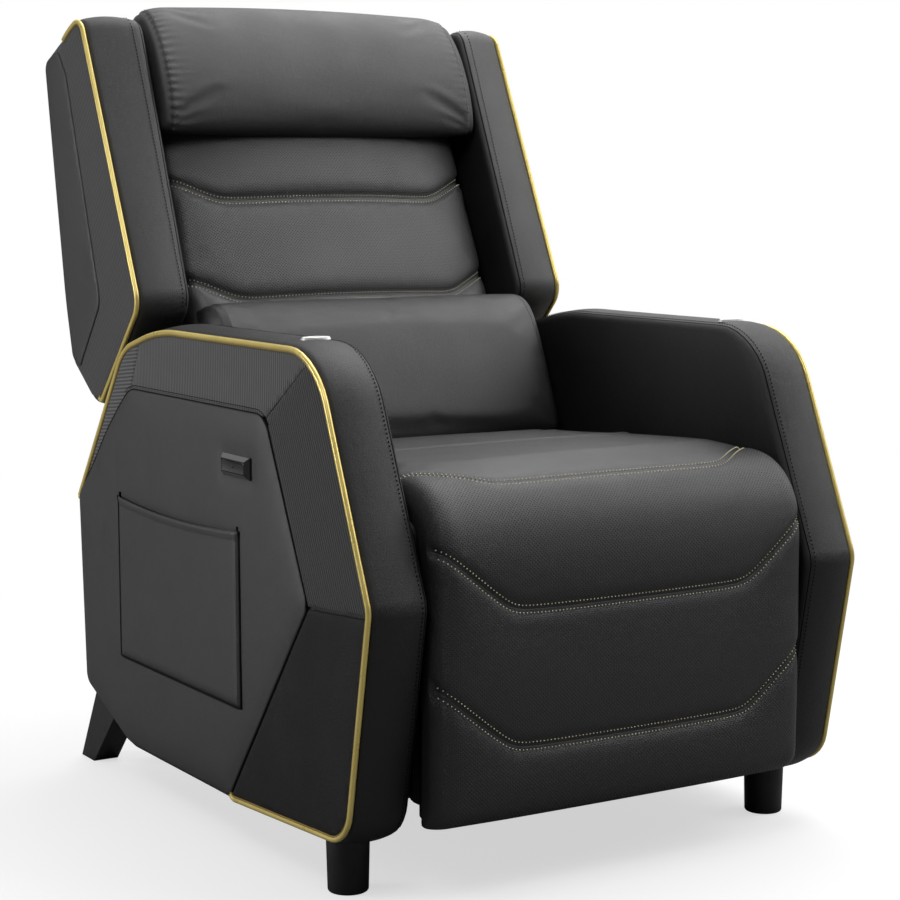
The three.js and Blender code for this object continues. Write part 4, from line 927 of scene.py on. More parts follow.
seat_rows = thread_rows(seat_place, SEAT_HALF, seat_seams, lambda along: (0, *seat_line.out(along)), seat_lift)
seat_thread = stitches("seat_thread", cream_thread, seat_rows, surface_of(seat_cover))

# %% [markdown]
# The cover and its thread stay as they were made, and the CAD seat cushion and footrest pad are hidden.

# %% Set the cover and its thread in place, and hide the CAD cushions
for soft in (seat_cover, seat_thread):
    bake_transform(soft)
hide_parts("seat_cushion", "footrest_pad")

# %% [markdown]
# ## Foam under the cover
# Below the cover the seat is a boxed cushion with a round nose about the hinge, and the footrest is a flat
# pad. They are seen only from the side when the footrest is out.

# %% Box the seat and the footrest
seat_corners = [
    (72, 398.5, 5), (72, 410, 4), (-60, 426, 0), (-260, 437, 0), (-380, 434, 8), (-420, 427, 10),
    (-422, 403, 10), (-408, 399, 4), (-384, 398.5, 3),
]
pad_corners = [(-404, 92, 6), (-404, 366, 4), (-424, 376, 4), (-430, 376, 3), (-430, 92, 3), (-424, 90, 3)]
box_side = puff(1.2, 8)
box_steps = [(-254, -4), (-251, -1), (-246, 0), (246, 0), (251, -1), (254, -4)]
# The boxes take the darkest leather copy, which paints them in shade.
for name, corners, body, replaced in (("seat_box", seat_corners, "base", "seat_cushion"),
                                      ("footrest_box", pad_corners, "footrest", "footrest_pad")):
    soft = board(name, corners, box_steps, black_and_shaded_leather, body, (replaced,), inner=box_side, outer=box_side)

# %% [markdown]
# ## The back cushion
# The back leans 24.7 degrees. Its cushion is crowned across, with two channels that rise at the sides;
# the lower one shows only at its ends, above the pillow.

# %% Pad the back
LEAN = math.radians(24.7)
LEAN_COS = math.cos(LEAN)
BACK_HALF, BACK_RUN, BACK_RISE, BACK_DEEP = 244.0, 170, 43, 99
BACK_LOW, BACK_HIGH = -32, 596


def on_back(x, behind, up):
    """A point of the leaning back in mm: behind its front plane, and up along the slope."""
    y = 89.5 + behind * LEAN_COS + up * math.sin(LEAN)
    return Vector((x, y, 474 - behind * math.sin(LEAN) + up * LEAN_COS))


def way_on_back(behind, up):
    return on_back(0, behind, up) - on_back(0, 0, 0)


back_seams = [207.0, 355.0]
back_places = steps_between([BACK_LOW, *back_seams, BACK_HIGH], CELL)


def back_lift(along, x):
    below, above = along - BACK_LOW, BACK_HIGH - along
    fade = min(1.0, max(0.0, below) / (back_seams[0] - BACK_LOW), max(0.0, above) / (BACK_HIGH - back_seams[1]))
    return BACK_RISE * fade * chevron(x, BACK_RUN, BACK_HALF)


def back_place(x, up, c):
    front = 36 - 25 * bow(x, BACK_HALF) + edge_drop(BACK_HALF - abs(x), 22)
    front = front + edge_drop(up - BACK_LOW, 20) + edge_drop(BACK_HIGH - up, 26)
    return on_back(x, BACK_DEEP - (BACK_DEEP - front) * c, up)


back_cover = cushion("back_cover", lit_back_leather, BACK_HALF, back_places, back_place, 60, 5, back_lift,
                     zone_of(back_seams), back_seams)
swell(back_cover, free_of(back_cover, back_seams), 2.8, 12, slack=0.004)
refine(back_cover)
channels(back_cover)
back_rows = thread_rows(back_place, BACK_HALF, back_seams, lambda along: way_on_back(-1, 0), back_lift)
stitches("back_thread", cream_thread, back_rows, surface_of(back_cover), body="back")
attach(back_cover, "back")
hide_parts("back_cushion")

# %% [markdown]
# ## The headrest
# A fat roll of leather hangs over the top of the back. Its ends are gathered into a seam, which makes
# short puckers, so the ends get small waves that fade towards the middle.

# %% Pad the headrest
HEAD_HALF = 253.0
# The gathers are deeper at -x, the photograph's near side.
GATHER_NEAR, GATHER_FAR = 1.9, 0.6
head_front = Line([
    (8, 450), (-5, 448), (-15, 455), (-23, 473), (-28, 500), (-30, 532), (-27, 572), (-18, 608),
    (-4, 632), (16, 642), (34, 640), (46, 628), (49, 610),
])
head_rear = Line([(9, 460), (9, 500), (9, 560), (9.2, 598), (14, 603.5), (30, 604), (48, 605)])
head_places = [head_front.length * index / 80 for index in range(81)]


def head_place(x, along, c):
    share = along / head_front.length
    front, rear = head_front.at(along), head_rear.at(share * head_rear.length)
    side = edge_drop(HEAD_HALF - abs(x), 14) / 14
    crown = (front - rear).normalized() * 5 * bow(x, HEAD_HALF)
    spot = rear.lerp(front.lerp(rear, 0.45 * side) + crown, c)
    spot.y += within((spot.y - 520) / 90) * (4 * bow(x, HEAD_HALF) - 0.42 * edge_drop(HEAD_HALF - abs(x), 46))
    return on_back(x, spot.x, spot.y)


def chart_of(piece):
    """Each point's place across and along the leather, in mm."""
    data = piece.data.attributes["chart"].data
    return vectors_of(data, "vector") * 1000


def end_seam(piece, half, margin, depth):
    """Presses a narrow seam in near both ends; returns the distance of each point from it, and the chart."""
    chart = chart_of(piece)
    away = half - margin - np.abs(chart[:, 0])
    press(piece, depth * np.exp(-((away / 2.2) ** 2)))
    return away, chart


headrest = cushion("headrest_cover", plain_leather, HEAD_HALF, head_places, head_place, 64, 4)
swell(headrest, free_of(headrest, ()), 1.6, 4)
refine(headrest)
away, chart = end_seam(headrest, HEAD_HALF, 13, 2.2)
inside = np.maximum(away, 0.0)
waves = np.sin(chart[:, 1] * 0.55 + 0.9 * np.sin(chart[:, 1] * 0.07))
fade = (1 - np.exp(-inside / 3)) * np.exp(-inside / 8)
press(headrest, -(fade * waves * np.where(chart[:, 0] < 0, GATHER_NEAR, GATHER_FAR)))


def end_rows(place, x, alongs, turn_at, low_way, high_way):
    """A row of thread at each end of a cushion; rays come along low_way, or high_way from turn_at on."""
    return [[(place(sign * x, float(along), 1.0), high_way if along >= turn_at else low_way) for along in alongs]
            for sign in (-1, 1)]


head_rows = end_rows(head_place, HEAD_HALF - 18, np.linspace(12, head_front.length - 60, 90), 150,
                     way_on_back(-0.8, 0.3), way_on_back(-0.2, 1))
stitches("headrest_thread", grey_thread, head_rows, surface_of(headrest), HEM_STITCH, body="back")
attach(headrest, "back")
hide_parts("headrest_pad")

# %% [markdown]
# ## The lumbar pillow
# A loose pillow hangs on elastic straps. It is a soft box: front and rear faces, a rounded top, and flat
# end panels joined by a seam that pulls the corners in.

# %% Pad the pillow
PILLOW_HALF = 251.0
pillow_front = Line([
    (6, -14), (-20, -31), (-40, -33), (-51, -22), (-55, 14), (-57, 74), (-56, 124), (-50, 158),
    (-36, 178), (-16, 188), (4, 190),
])
pillow_rear = Line([(8.6, -6), (8.6, 56), (8.6, 124), (8.6, 185)])
pillow_places = [pillow_front.length * index / 44 for index in range(45)]


def pillow_place(x, along, c):
    front = pillow_front.at(along)
    rear = pillow_rear.at(along / pillow_front.length * pillow_rear.length)
    side = edge_drop(PILLOW_HALF - abs(x), 13) / 13
    crown = (front - rear).normalized() * 4 * bow(x, PILLOW_HALF)
    spot = rear.lerp(front.lerp(rear, 0.32 * side) + crown, c)
    return on_back(x, spot.x, spot.y)


pillow = cushion("pillow_cover", plain_leather, PILLOW_HALF, pillow_places, pillow_place, 66, 5)
swell(pillow, values_of(pillow, "outer") < 0.5, 2.0, 5, slack=0.001)
refine(pillow)
end_seam(pillow, PILLOW_HALF, 11, 2.0)
pillow_rows = end_rows(pillow_place, PILLOW_HALF - 17, np.linspace(40, pillow_front.length - 8, 80), 200,
                       way_on_back(-1, 0), way_on_back(-0.7, 0.7))
stitches("pillow_thread", black_thread, pillow_rows, surface_of(pillow), HEM_STITCH, body="lumbar")
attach(pillow, "lumbar")
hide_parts("lumbar_pillow")

# %% [markdown]
# ## The arms
# Each arm is a board wrapped in one wide leather band, with a flat inner side, and an outer side made of
# panels: a six-sided leather panel, three strips of ribbed fabric, and a leather panel at the lower
# front. Gold piping runs along the edge.

# %% Bands of leather
CREASE_HALF, CREASE_DEPTH = 1.6, 0.5
SIDES = (("r", 1), ("l", -1))


def band(start, end, inner_radius, outer_radius, crown, sewn):
    """Steps of a leather band from x = start to end: rounded edges, a crown, and a crease at sewn."""
    places = [start + inner_radius * (1 - math.cos(turn)) for turn in np.linspace(0.12, math.pi / 2, 6)]
    places += [sewn - CREASE_HALF, sewn, sewn + CREASE_HALF]
    places += [*np.linspace(sewn + 6, end - outer_radius - 4, 9)]
    places += [end - outer_radius * (1 - math.cos(turn)) for turn in np.linspace(math.pi / 2, 0.12, 5)]
    steps = []
    for x in sorted(places):
        share = 2 * (x - start) / (end - start) - 1
        growth = crown * (1 - share**2) - edge_drop(x - start, inner_radius) - edge_drop(end - x, outer_radius)
        steps.append((x, growth - (CREASE_DEPTH if abs(x - sewn) < 0.1 else 0)))
    return steps


def crease_shade_line(name, points, outs, steps, x, side, body, reshape=None):
    """A thin dark tube along the crease where a band is sewn, painting the shade in that crease."""
    growth = min(steps, key=lambda step: abs(step[0] - x))[1]
    path = []
    for point, out in zip(points, outs):
        y, z = point + out * (growth + 0.1)
        spot = reshape(x, y, z) if reshape else Vector((x, y, z))
        path.append(Vector((side * spot.x, spot.y, spot.z)))
    return tube(name, path, 0.8, thread_and_shade_line_black, body)


# %% Wrap the arm boards
ARM_CREASE, ARM_THREAD = 277.0, 282.0
arm_corners = [
    (362, 376, 9), (196, 597, 26), (82, 628, 46), (-343, 628, 62), (-461, 350, 9), (-408, 74, 38),
    (-109, 57, 16), (200, 57, 9), (346, 118, 10),
]
arm_steps = band(270.3, 344.4, 9, 7, 6.5, ARM_CREASE)
arm_points, arm_outs = loop_of(arm_corners)
for mark, side in SIDES:
    arm = board("arm_cover_" + mark, arm_corners, arm_steps, shaded_arm_leather, "base", ("arm_body_" + mark,),
                inner=puff(2.4, 16), outer=puff(-0.5, 10), cell=10, slack=0.5, side=side)
    stretch = part_of_loop(arm_points, arm_outs, (196, 597), (-408, 74))
    # A dark tube paints the shade in the band's sewn crease.
    crease_shade_line("arm_crease_shade_" + mark, *stretch, arm_steps, ARM_CREASE, side, "base")
    row = row_at(*stretch, side * ARM_THREAD)
    stitches("arm_thread_" + mark, thread_and_shade_line_black, [row], surface_of(arm), BAND_STITCH, body="base")

# %% [markdown]
# The panels lie on the board's outer side. Each is its own outline, proud of the board by a few
# millimetres, with its edge rolled under where it is sewn. The strips take their outer edge from the
# arm's own outline, so they fit under the piping.

# %% Lay the side panels
hexagon = [
    (355, 384, 8), (307, 425, 20), (252, 482, 20), (199, 526, 20), (172, 544, 14), (-215, 544, 20),
    (-319, 333, 14), (-110, 63.5, 8), (198, 63.5, 10), (341, 121, 12),
]
lower_panel = [(-320.5, 331, 2), (-454, 341, 8), (-404, 80, 32), (-114, 64, 3)]
panel_steps = [(344.3, -1.2), (345.8, -0.3), (347.4, 0), (348.4, -0.5), (349.0, -1.4), (349.3, -2.6)]
low_steps = [(344.3, -0.8), (346.2, 0), (347.6, -0.4), (348.4, -1.4)]
strip_steps = [(344.3, 0), (346.8, 0), (347.3, -0.4)]
CONTROL_Y, CONTROL_Z, CONTROL_FRONT = -149, 476.5, -357
CONTROL_DIMPLE = (CONTROL_Y, CONTROL_Z, 36, 13.5)


def edge_points(start, end, inset=4.5):
    points, outs = part_of_loop(arm_points, arm_outs, start, end)
    return [(*(point - out * inset), 0) for point, out in zip(points, outs)]


# Each strip has its corners, the direction across its cords, and its light and dark tones. The tones are
# set strip by strip as painted light and shade: the top and rear strips lighter, the front strip darker.
strips = {
    "top": (
        edge_points((138, 609), (-313, 603))
        + [(-220, 542.5, 0), (-205, 541.5, 0), (168, 541.5, 0), (173, 540, 0)],
        (0, 1, 0), (84, 84, 86), (44, 44, 45),
    ),
    "rear": (
        edge_points((356, 382), (138, 609))
        + [(174, 539, 0), (198, 524, 0), (250.5, 480.5, 0), (305.5, 423.5, 0), (347, 387, 0)],
        (0, 0.11, 1), (98, 98, 100), (44, 44, 45),
    ),
    "front": (
        edge_points((-313, 603), (-458, 356))
        + [(-454, 342, 0), (-319, 334, 0), (-313, 346, 0), (-219.5, 541, 0)],
        (0, 0.91, -0.415), (22, 22, 23), (8, 8, 9),
    ),
}


def side_height(rise, reach, dimple=None):
    """A soft rise from the seam, drawn in round the control and creased by small puckers near the seam."""
    def height(y, z, away):
        lift = rise * (1 - math.exp(-away / reach))
        lift += 0.35 * noise.noise(Vector((y, z, 3)) * 0.11) * math.exp(-away / 9)
        lift += 0.6 * noise.noise(Vector((y, z, 7)) * 0.012)
        if dimple:
            centre_y, centre_z, half_y, half_z = dimple
            off = math.hypot(max(0.0, abs(y - centre_y) - half_y), max(0.0, abs(z - centre_z) - half_z))
            lift -= 2.2 * math.exp(-((off / 11) ** 2))
        return lift
    return height


def beside(stretch, x, offset):
    """A path beside a stretch of an outline, at x."""
    return [Vector((x, *(point + out * offset))) for point, out in zip(*stretch)]


for mark, side in SIDES:
    raised = side_height(3.5, 15, CONTROL_DIMPLE if side < 0 else None)
    board("arm_panel_" + mark, hexagon, panel_steps, side_leather, "base", ("arm_centre_panel_" + mark,),
          outer=raised, cell=8, side=side)
    # The low front panel takes the darkest leather copy, as painted shade.
    board("arm_low_panel_" + mark, lower_panel, low_steps, black_and_shaded_leather, "base", ("arm_lower_panel_" + mark,),
          outer=side_height(0.8, 10), cell=8, side=side)
    tops = []
    for label, (corners, across, light, dark) in strips.items():
        cloth = ribbed(f"ribbed_{label}_{mark}", across, light, dark)
        tops.append(board(f"arm_border_{label}_{mark}", corners, strip_steps, cloth, "base",
                          ("arm_mesh_panel_" + mark,), outer=puff(0.7, 7), side=side))
    # Two thin dark tubes paint shade: along the edge of the six-sided panel, and along the strips' top seam.
    upper = part_of_loop(*loop_of(hexagon), (352, 387), (-319, 333))
    tube("hexagon_edge_shade_" + mark, beside(upper, side * 348.3, 0.5), 0.6, thread_and_shade_line_black, "base")
    top = part_of_loop(*loop_of(hexagon), (188, 536), (-224, 530))
    tube("strip_edge_shade_" + mark, beside(top, side * 347.7, 5.2), 0.45, thread_and_shade_line_black, "base")
    low_seam = [Vector((side * 349, y, z)) for y, z in ((-330, 337.5), (-390, 341), (-448, 345))]
    rows = [[(spot, (side, 0, 0)) for spot in path] for path in (beside(top, side * 349, 3.0), low_seam)]
    stitches("side_thread_" + mark, black_thread, rows, surface_of(*tops), PANEL_STITCH, body="base")

# %% [markdown]
# The piping is a cord in a strip of gold leather, caught in the seam between the band and the side. A
# curve with a round bevel along the same outline gives the cord, and a thinner one beside it the strip's
# sewn edge, in a darker gold that paints the shade where the edge tucks into the seam.

# %% Pipe the arms
# Radius, distance in from the outline, and distance out along x, of the cord and of the flange.
PIPING = (("cord", 3.25, 2.4, 0.0, gold_piping), ("flange", 1.5, 6.0, 0.5, gold_flange))
PIPING_SINK = 4


def piping(name, points, outs, x, side, body, replaces):
    """A cord along an outline, whose two ends dive into the leather, and its flange."""
    last = len(points) - 1
    for label, radius, inward, away, material in PIPING:
        path = []
        for index, (point, out) in enumerate(zip(points, outs)):
            sink = max(0.0, 1 - min(index, last - index) / 1.5) * PIPING_SINK
            path.append(Vector((side * (x + away), *(point - out * (inward + sink)))))
        tube(f"{name}_{label}", path, radius, material, body, replaces)


for mark, side in SIDES:
    points, outs = part_of_loop(arm_points, arm_outs, (360, 379), (-109, 57))
    piping("arm_piping_" + mark + "_gold", points, outs, 347.0, side, "base", ("arm_piping_" + mark,))

# %% [markdown]
# ## The pocket and the control
# The pocket is one piece of leather sewn down on three sides, its top edge standing off with a hem. It is
# a thin block that bulges from its seams, and a dark tube along those three sides paints the shade in the
# gap beside them. The control is a bezel with chamfered edges and a sprung button.

# %% Sew the pocket
POCKET_TOP, POCKET_LOW, POCKET_REAR, POCKET_FRONT = 399.0, 182.0, 204.0, -154.0
POCKET_X, POCKET_THICK, HEM_FROM, HEM_RISE = 352.0, 1.6, 0.963, 1.3


def pocket_point(a, b, c):
    middle = 1 - (2 * a - 1) ** 2
    y = POCKET_REAR + (POCKET_FRONT - POCKET_REAR) * a
    z = POCKET_LOW + (POCKET_TOP - POCKET_LOW) * b - 7.0 * middle * b**3
    bulge = min(1.0, min(a, 1 - a) * 353 / 9) ** 0.6 * min(1.0, b * 214 / 9) ** 0.6
    x = POCKET_X + bulge * (3.0 + 3.2 * b**2 * middle) + (HEM_RISE if b > HEM_FROM else 0.0)
    return Vector((-(x + POCKET_THICK * c), y, z))


pocket = sheet("pocket_cover", (56, 44, 1), pocket_point, side_leather, "base", ("side_pocket",))
# A dark tube along the pocket's three sewn sides paints the shade in the gap beside them.
shade_gap_path = [pocket_point(0.0, b, 0.8) + Vector((0, 1.3, 0)) for b in np.linspace(1.0, 0.0, 24)]
shade_gap_path += [pocket_point(a, 0.0, 0.8) + Vector((0, 0, -1.2)) for a in np.linspace(0.02, 0.98, 40)]
shade_gap_path += [pocket_point(1.0, b, 0.8) + Vector((0, -1.3, 0)) for b in np.linspace(0.0, 1.0, 24)]
tube("pocket_edge_shade", shade_gap_path, 1.5, thread_and_shade_line_black, "base", ("side_pocket",))
for number, y in enumerate((POCKET_REAR - 3, POCKET_FRONT + 3)):
    tack = [Vector((-353.6, y, POCKET_TOP + rise)) for rise in (-3, 1, 5)]
    tube(f"pocket_tack_{number}", tack, 1.5, thread_and_shade_line_black, "base")
upright = np.linspace(0.02, 0.97, 40)
level = np.linspace(0.02, 0.98, 60)
spots = [[(a, 0.955) for a in level], [(0.012, b) for b in upright], [(0.988, b) for b in upright],
         [(a, 0.014) for a in level]]
rows = [[(pocket_point(a, b, 1.0), (-1, 0, 0)) for a, b in row] for row in spots]
stitches("pocket_thread", black_thread, rows, surface_of(pocket), PANEL_STITCH, body="base")

# %% Chamfer the control's bezel
def cube_at(size, centre, edge_radius=None):
    """A box of a size and centre in mm, with rounded edges if a radius is given."""
    bm = bmesh.new()
    bmesh.ops.create_cube(bm, size=1.0)
    bmesh.ops.scale(bm, verts=bm.verts, vec=Vector(size) * MM)
    if edge_radius:
        bevel(bm, bm.edges[:], edge_radius, 3)
    bmesh.ops.translate(bm, verts=bm.verts, vec=Vector(centre) * MM)
    return bm


def front_face(bm):
    return min(bm.faces, key=lambda face: face.calc_center_median().x)


def sharp(edge):
    return edge.calc_face_angle(0) > 0.5 and min(vert.co.x for vert in edge.verts) < CONTROL_FRONT * MM


bm = cube_at((7.4, 72, 27), (-354.2, CONTROL_Y, CONTROL_Z))
bevel(bm, list(front_face(bm).edges), 5.2, 1)
face = front_face(bm)
inset(bm, [face], 0.7, 0)
inset(bm, [face], 0.2, -6.0)
bevel(bm, [edge for edge in bm.edges if sharp(edge)], 0.25, 2)
bezel = piece_from(bm, "control_surround", gloss_black, "base", ("control_bezel",))
bezel.data.shade_flat()

# %% [markdown]
# The button fills the bezel and stands level with it, with one small dark dot as its mark.

# %% Round the button
bm = cube_at((3.4, 59, 14.2), (-356.2, CONTROL_Y, CONTROL_Z), 0.5)
piece_from(bm, "control_key", gloss_black, "button", ("control_button",))
bm = bmesh.new()
place = Matrix.Translation((-358.1 * MM, CONTROL_Y * MM, CONTROL_Z * MM)) @ Matrix.Rotation(-math.pi / 2, 4, "Y")
bmesh.ops.create_cone(bm, cap_ends=True, segments=24, radius1=2.0 * MM, radius2=1.6 * MM, depth=0.7 * MM,
                      matrix=place)
piece_from(bm, "control_dot", black_thread, "button")

# %% [markdown]
# ## Badges and feet
# A small oval plate sits on each arm, left blank. The front feet are turned plastic cups, wider at the
# top.

# %% Plates on the arms
PLATE_SIZE, PLATE_PLACE, PLATE_TIP = (20, 7, 3), (305, -264, 635.0), 3
for mark, side in SIDES:
    bm = bmesh.new()
    bmesh.ops.create_cone(bm, cap_ends=True, segments=64, radius1=1.0, radius2=0.9, depth=1.0)
    bmesh.ops.scale(bm, verts=bm.verts, vec=Vector(PLATE_SIZE) * MM)
    top = [face for face in bm.faces if face.normal.z > 0.9]
    inset(bm, top, 1.0, 0.3)
    inset(bm, top, 0.5, -0.25)
    bmesh.ops.rotate(bm, verts=bm.verts, matrix=Matrix.Rotation(math.radians(PLATE_TIP), 3, "X"))
    x, y, z = PLATE_PLACE
    bmesh.ops.translate(bm, verts=bm.verts, vec=(side * x * MM, y * MM, z * MM))
    plate = piece_from(bm, "arm_plate_" + mark, bright_metal, "base", ("arm_badge_" + mark,))
    plate.data.shade_flat()

# %% Turn the front feet
for mark, side in SIDES:
    low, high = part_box("front_foot_" + mark)
    middle, radius, height = (low + high) / 2, (high.x - low.x) / 2, high.z - low.z
    bm = bmesh.new()
    bmesh.ops.create_cone(bm, cap_ends=True, segments=56, radius1=radius * 0.93, radius2=radius, depth=height)
    bmesh.ops.translate(bm, verts=bm.verts, vec=(middle.x, middle.y, height / 2))
    rims = [edge for edge in bm.edges if abs(edge.verts[0].co.z - edge.verts[1].co.z) < TINY]
    bevel(bm, rims, 3, 4)
    piece_from(bm, "front_cup_" + mark, foot_plastic, "base", ("front_foot_" + mark,))

# %% [markdown]
# ## The wings
# Each wing is a padded board like the arm. Its front band is crowned and topstitched near the inner edge;
# its outer side has a smooth leather panel behind a seam, and a ribbed strip in front of it up to the
# piping.

# %% Wrap the wing boards
WING_CREASE, WING_THREAD = 266.4, 271.4
wing_corners = [
    (300, 513, 9), (335, 513, 9), (404, 562, 12), (427, 650, 24), (486, 984, 16), (430, 1008, 18),
    (349, 1040, 24), (168, 652, 22),
]
wing_panel = [
    (306, 519, 4), (333, 520, 6), (399, 565, 10), (421, 650, 20), (479, 980, 12), (429, 1001, 14),
    (352, 1033, 18), (174, 652, 18),
]
rear_panel = [
    (372, 558, 4), (397, 568, 8), (419, 650, 20), (477, 979, 12), (432, 997, 12), (402, 962, 12),
    (296, 650, 16),
]
border_steps = [(331.3, 0), (333.6, 0), (334.6, -0.8)]
wing_side_steps = [(334.2, -0.5), (335.4, 0), (336.6, -0.6), (337.2, -1.8)]
wing_steps = band(259.8, 331.2, 7, 6, 6.0, WING_CREASE)
wing_points, wing_outs = loop_of(wing_corners)


def lean_in(x, y, z):
    """The band's inner edge stands further forward the higher it is, and closes up to the headrest."""
    high = within((z - 620) / 380)
    inward = within((331 - x) / 62) ** 1.6
    fore = within((424 + (z - 650) * 0.167 - y) / 130)
    y_forward = y - 22 * high * inward * fore * LEAN_COS
    return Vector((x - 6 * high * inward * fore, y_forward, z - high * inward * fore))


for mark, side in SIDES:
    wing = board("wing_cover_" + mark, wing_corners, wing_steps, plain_leather, "back", ("wing_" + mark,),
                 inner=puff(1.0, 12), outer=puff(-0.5, 10), slack=0.5, side=side, reshape=lean_in)
    cloth = ribbed("ribbed_wing_" + mark, (0, 0.92, -0.4), (54, 54, 55), (38, 38, 39))
    board("wing_border_" + mark, wing_panel, border_steps, cloth, "back", ("wing_panel_" + mark,),
          outer=puff(0.5, 6), side=side)
    board("wing_side_" + mark, rear_panel, wing_side_steps, side_leather, "back", outer=puff(0.7, 8), slack=0.2,
          side=side)
    points, outs = part_of_loop(wing_points, wing_outs, (414, 1015), (306, 513))
    piping("wing_piping_" + mark + "_gold", points, outs, 334.2, side, "back", ("wing_piping_" + mark,))
    stretch = part_of_loop(wing_points, wing_outs, (430, 1008), (168, 652))
    # A dark tube paints the shade in the band's sewn crease.
    crease_shade_line("wing_crease_shade_" + mark, *stretch, wing_steps, WING_CREASE, side, "back", lean_in)
    row = row_at(*stretch, side * WING_THREAD)
    stitches("wing_thread_" + mark, thread_and_shade_line_black, [row], surface_of(wing), BAND_STITCH, body="back")

# %% [markdown]
# ## The rear
# The back is closed by one taut leather panel with stitched hems, and the base by a dust cover. Both are
# thin blocks, bowed a little.

# %% Close the rear
REAR_HALF = 259.5
rear_line = Line([
    (386, 413), (398.5, 556), (405, 590), (419.5, 648), (447, 811), (472, 962), (473, 978), (462, 988),
    (425, 1004), (406, 1013),
])


def rear_point(a, b, c):
    place = a * rear_line.length
    x = REAR_HALF * (2 * b - 1)
    bulge = 3.0 * (1 - (2 * b - 1) ** 4) * math.sin(math.pi * a) - edge_drop(REAR_HALF - abs(x), 5)
    return Vector((x, *(rear_line.at(place) + rear_line.out(place) * (bulge * c - 5 * (1 - c)))))


def dust_point(a, b, c):
    sag = 2.4 * math.sin(math.pi * a) * math.sin(math.pi * b)
    return Vector((272 * (2 * a - 1), 345.6 + 4.6 * c - sag * 0.6, 92.5 + 267 * b))


rear = sheet("rear_leather", (60, 44, 1), rear_point, plain_leather, "back", ("back_panel",))
hems = [[(rear_point(a, 0.5 + side * 0.472, 1.0), (0, 1, 0.2)) for a in np.linspace(0.02, 0.8, 70)]
        for side in (-1, 1)]
stitches("rear_thread", black_thread, hems, surface_of(rear), REAR_STITCH, body="back")
sheet("rear_dust_cover", (30, 20, 1), dust_point, black_and_shaded_leather, "base", ("rear_cover",))

# %% [markdown]
# ## Studio
# A plain pale floor and a white surround, one large soft light above and four weaker ones around, at a
# level at which colours render about as written. White comes from what the camera sees of the floor and
# the world, not from more light.

# %% Floor and surround
WHITE = (1, 1, 1, 1)
bm = bmesh.new()
bmesh.ops.create_grid(bm, x_segments=1, y_segments=1, size=14.0)
mesh = bpy.data.meshes.new("floor")
bm.to_mesh(mesh)
bm.free()
floor = bpy.data.objects.new("floor", mesh)
bpy.context.scene.collection.objects.link(floor)
floor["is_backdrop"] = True
material, tree, shader, place = finish("studio_floor", roughness=0.9, specular_ior_level=0.0)
seen = add(tree, "LightPath").outputs["Is Camera Ray"]
tree.links.new(shades(tree, seen, (0.2, 0.2, 0.2, 1), (0.9, 0.9, 0.9, 1)), shader.inputs["Base Color"])
distance = add(tree, "VectorMath", {0: place}, operation="LENGTH").outputs["Value"]
glow = add(tree, "Emission", {"Color": WHITE, "Strength": 1.0})
share = times(tree, seen, ramp(tree, distance, 0.6, 1.6, 0.62, 1.0))
mixed = add(tree, "MixShader", {0: share, 1: shader.outputs[0], 2: glow.outputs[0]})
tree.links.new(mixed.outputs[0], tree.nodes["Material Output"].inputs["Surface"])
mesh.materials.append(material)

world = bpy.data.worlds.new("studio")
bpy.context.scene.world = world
world.use_nodes = True
tree = world.node_tree
path = add(tree, "LightPath").outputs
seen = calc(tree, "MAXIMUM", path["Is Camera Ray"], path["Is Transmission Ray"])
above = {0: add(tree, "TexCoord").outputs["Generated"], 1: (0.50, 0.36, 0.79)}
facing = add(tree, "VectorMath", above, operation="DOT_PRODUCT").outputs["Value"]
sky = tree.nodes["Background"]
socket_in(tree, sky, "Color", WHITE)
brightness = add(tree, "Mix", {0: seen, 2: ramp(tree, facing, 0.3, 0.95, 0.0, 1.25), 3: 1.0})
socket_in(tree, sky, "Strength", brightness.outputs[0])


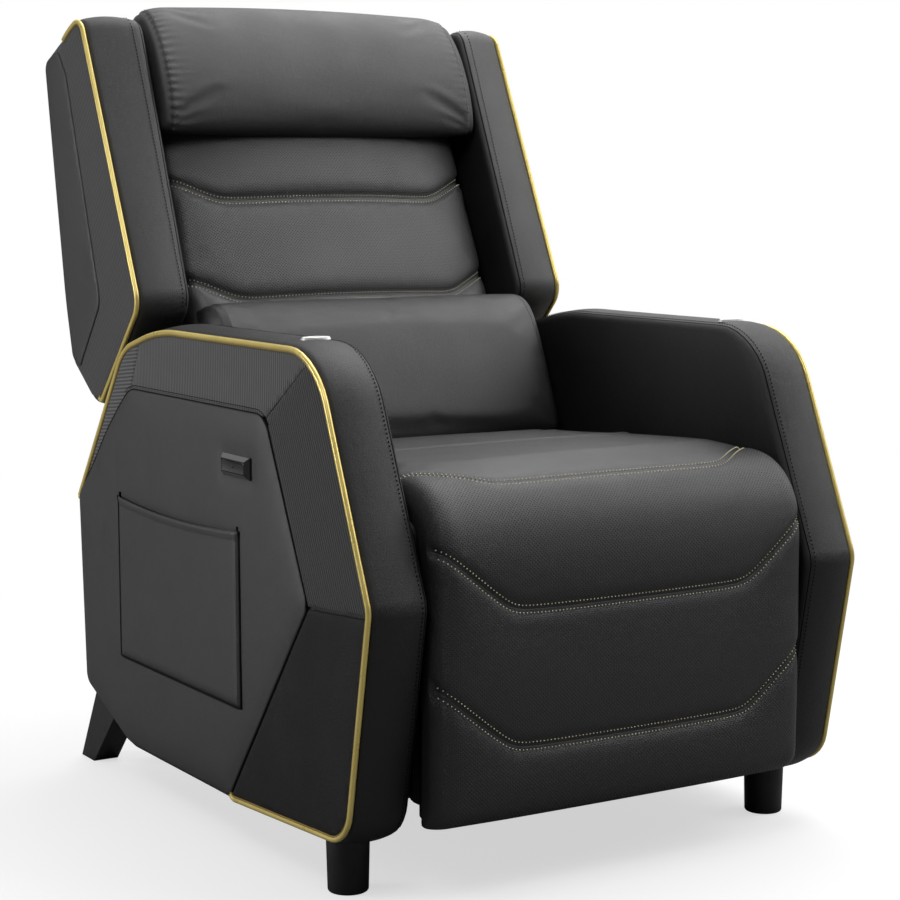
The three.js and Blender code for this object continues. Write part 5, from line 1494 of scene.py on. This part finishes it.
# %% Lights
def soft_light(name, place, aim, size, power):
    lamp = bpy.data.lights.new(name, "AREA")
    lamp.shape, lamp.size, lamp.size_y, lamp.energy = "RECTANGLE", size[0], size[1], power
    holder = bpy.data.objects.new(name, lamp)
    bpy.context.scene.collection.objects.link(holder)
    holder.location = place
    holder.rotation_euler = (Vector(aim) - Vector(place)).to_track_quat("-Z", "Y").to_euler()


soft_light("overhead", (1.0, 0.4, 2.8), (0, -0.1, 0.5), (2.4, 2.2), 44)
soft_light("key", (1.7, -2.0, 2.5), (0, 0.1, 0.7), (1.8, 1.4), 24)
soft_light("right", (2.6, -0.9, 1.9), (0, 0.1, 0.7), (1.4, 1.4), 22)
soft_light("left_rear", (-2.8, 1.3, 1.0), (-0.3, 0, 0.5), (1.0, 1.0), 40)
soft_light("left_front", (-1.8, -1.6, 2.6), (0, 0.2, 0.8), (1.2, 1.0), 28)

# %% [markdown]
# ## Camera
# The camera was fitted to the photograph from points that mirror each other left and right on the chair.

# %% Camera
TURN, TIP, ROLL = -0.552867, 0.122572, -0.001446
FOCAL_PIXELS, PHOTO_PIXELS = 2207.3, 900
back = Vector((math.sin(TURN) * math.cos(TIP), -math.cos(TURN) * math.cos(TIP), math.sin(TIP)))
right = Vector((0, 0, 1)).cross(back).normalized()
up = back.cross(right)
right, up = math.cos(ROLL) * right + math.sin(ROLL) * up, -math.sin(ROLL) * right + math.cos(ROLL) * up
lens = bpy.data.cameras.new("camera")
lens.sensor_width, lens.lens = 36.0, 36.0 * FOCAL_PIXELS / PHOTO_PIXELS
camera = bpy.data.objects.new("camera", lens)
turned = Matrix((right, up, back)).transposed().to_4x4()
camera.matrix_world = Matrix.Translation((-1.5082, -2.5083, 0.8181)) @ turned
bpy.context.scene.collection.objects.link(camera)
bpy.context.scene.camera = camera
bpy.context.scene.view_settings.view_transform = "Standard"

# %% Sizes, and the end
made_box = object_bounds()
for label, box in (("CAD size", cad_box), ("visual size", made_box)):
    print(label, [round(b - a, 3) for a, b in zip(*box)])
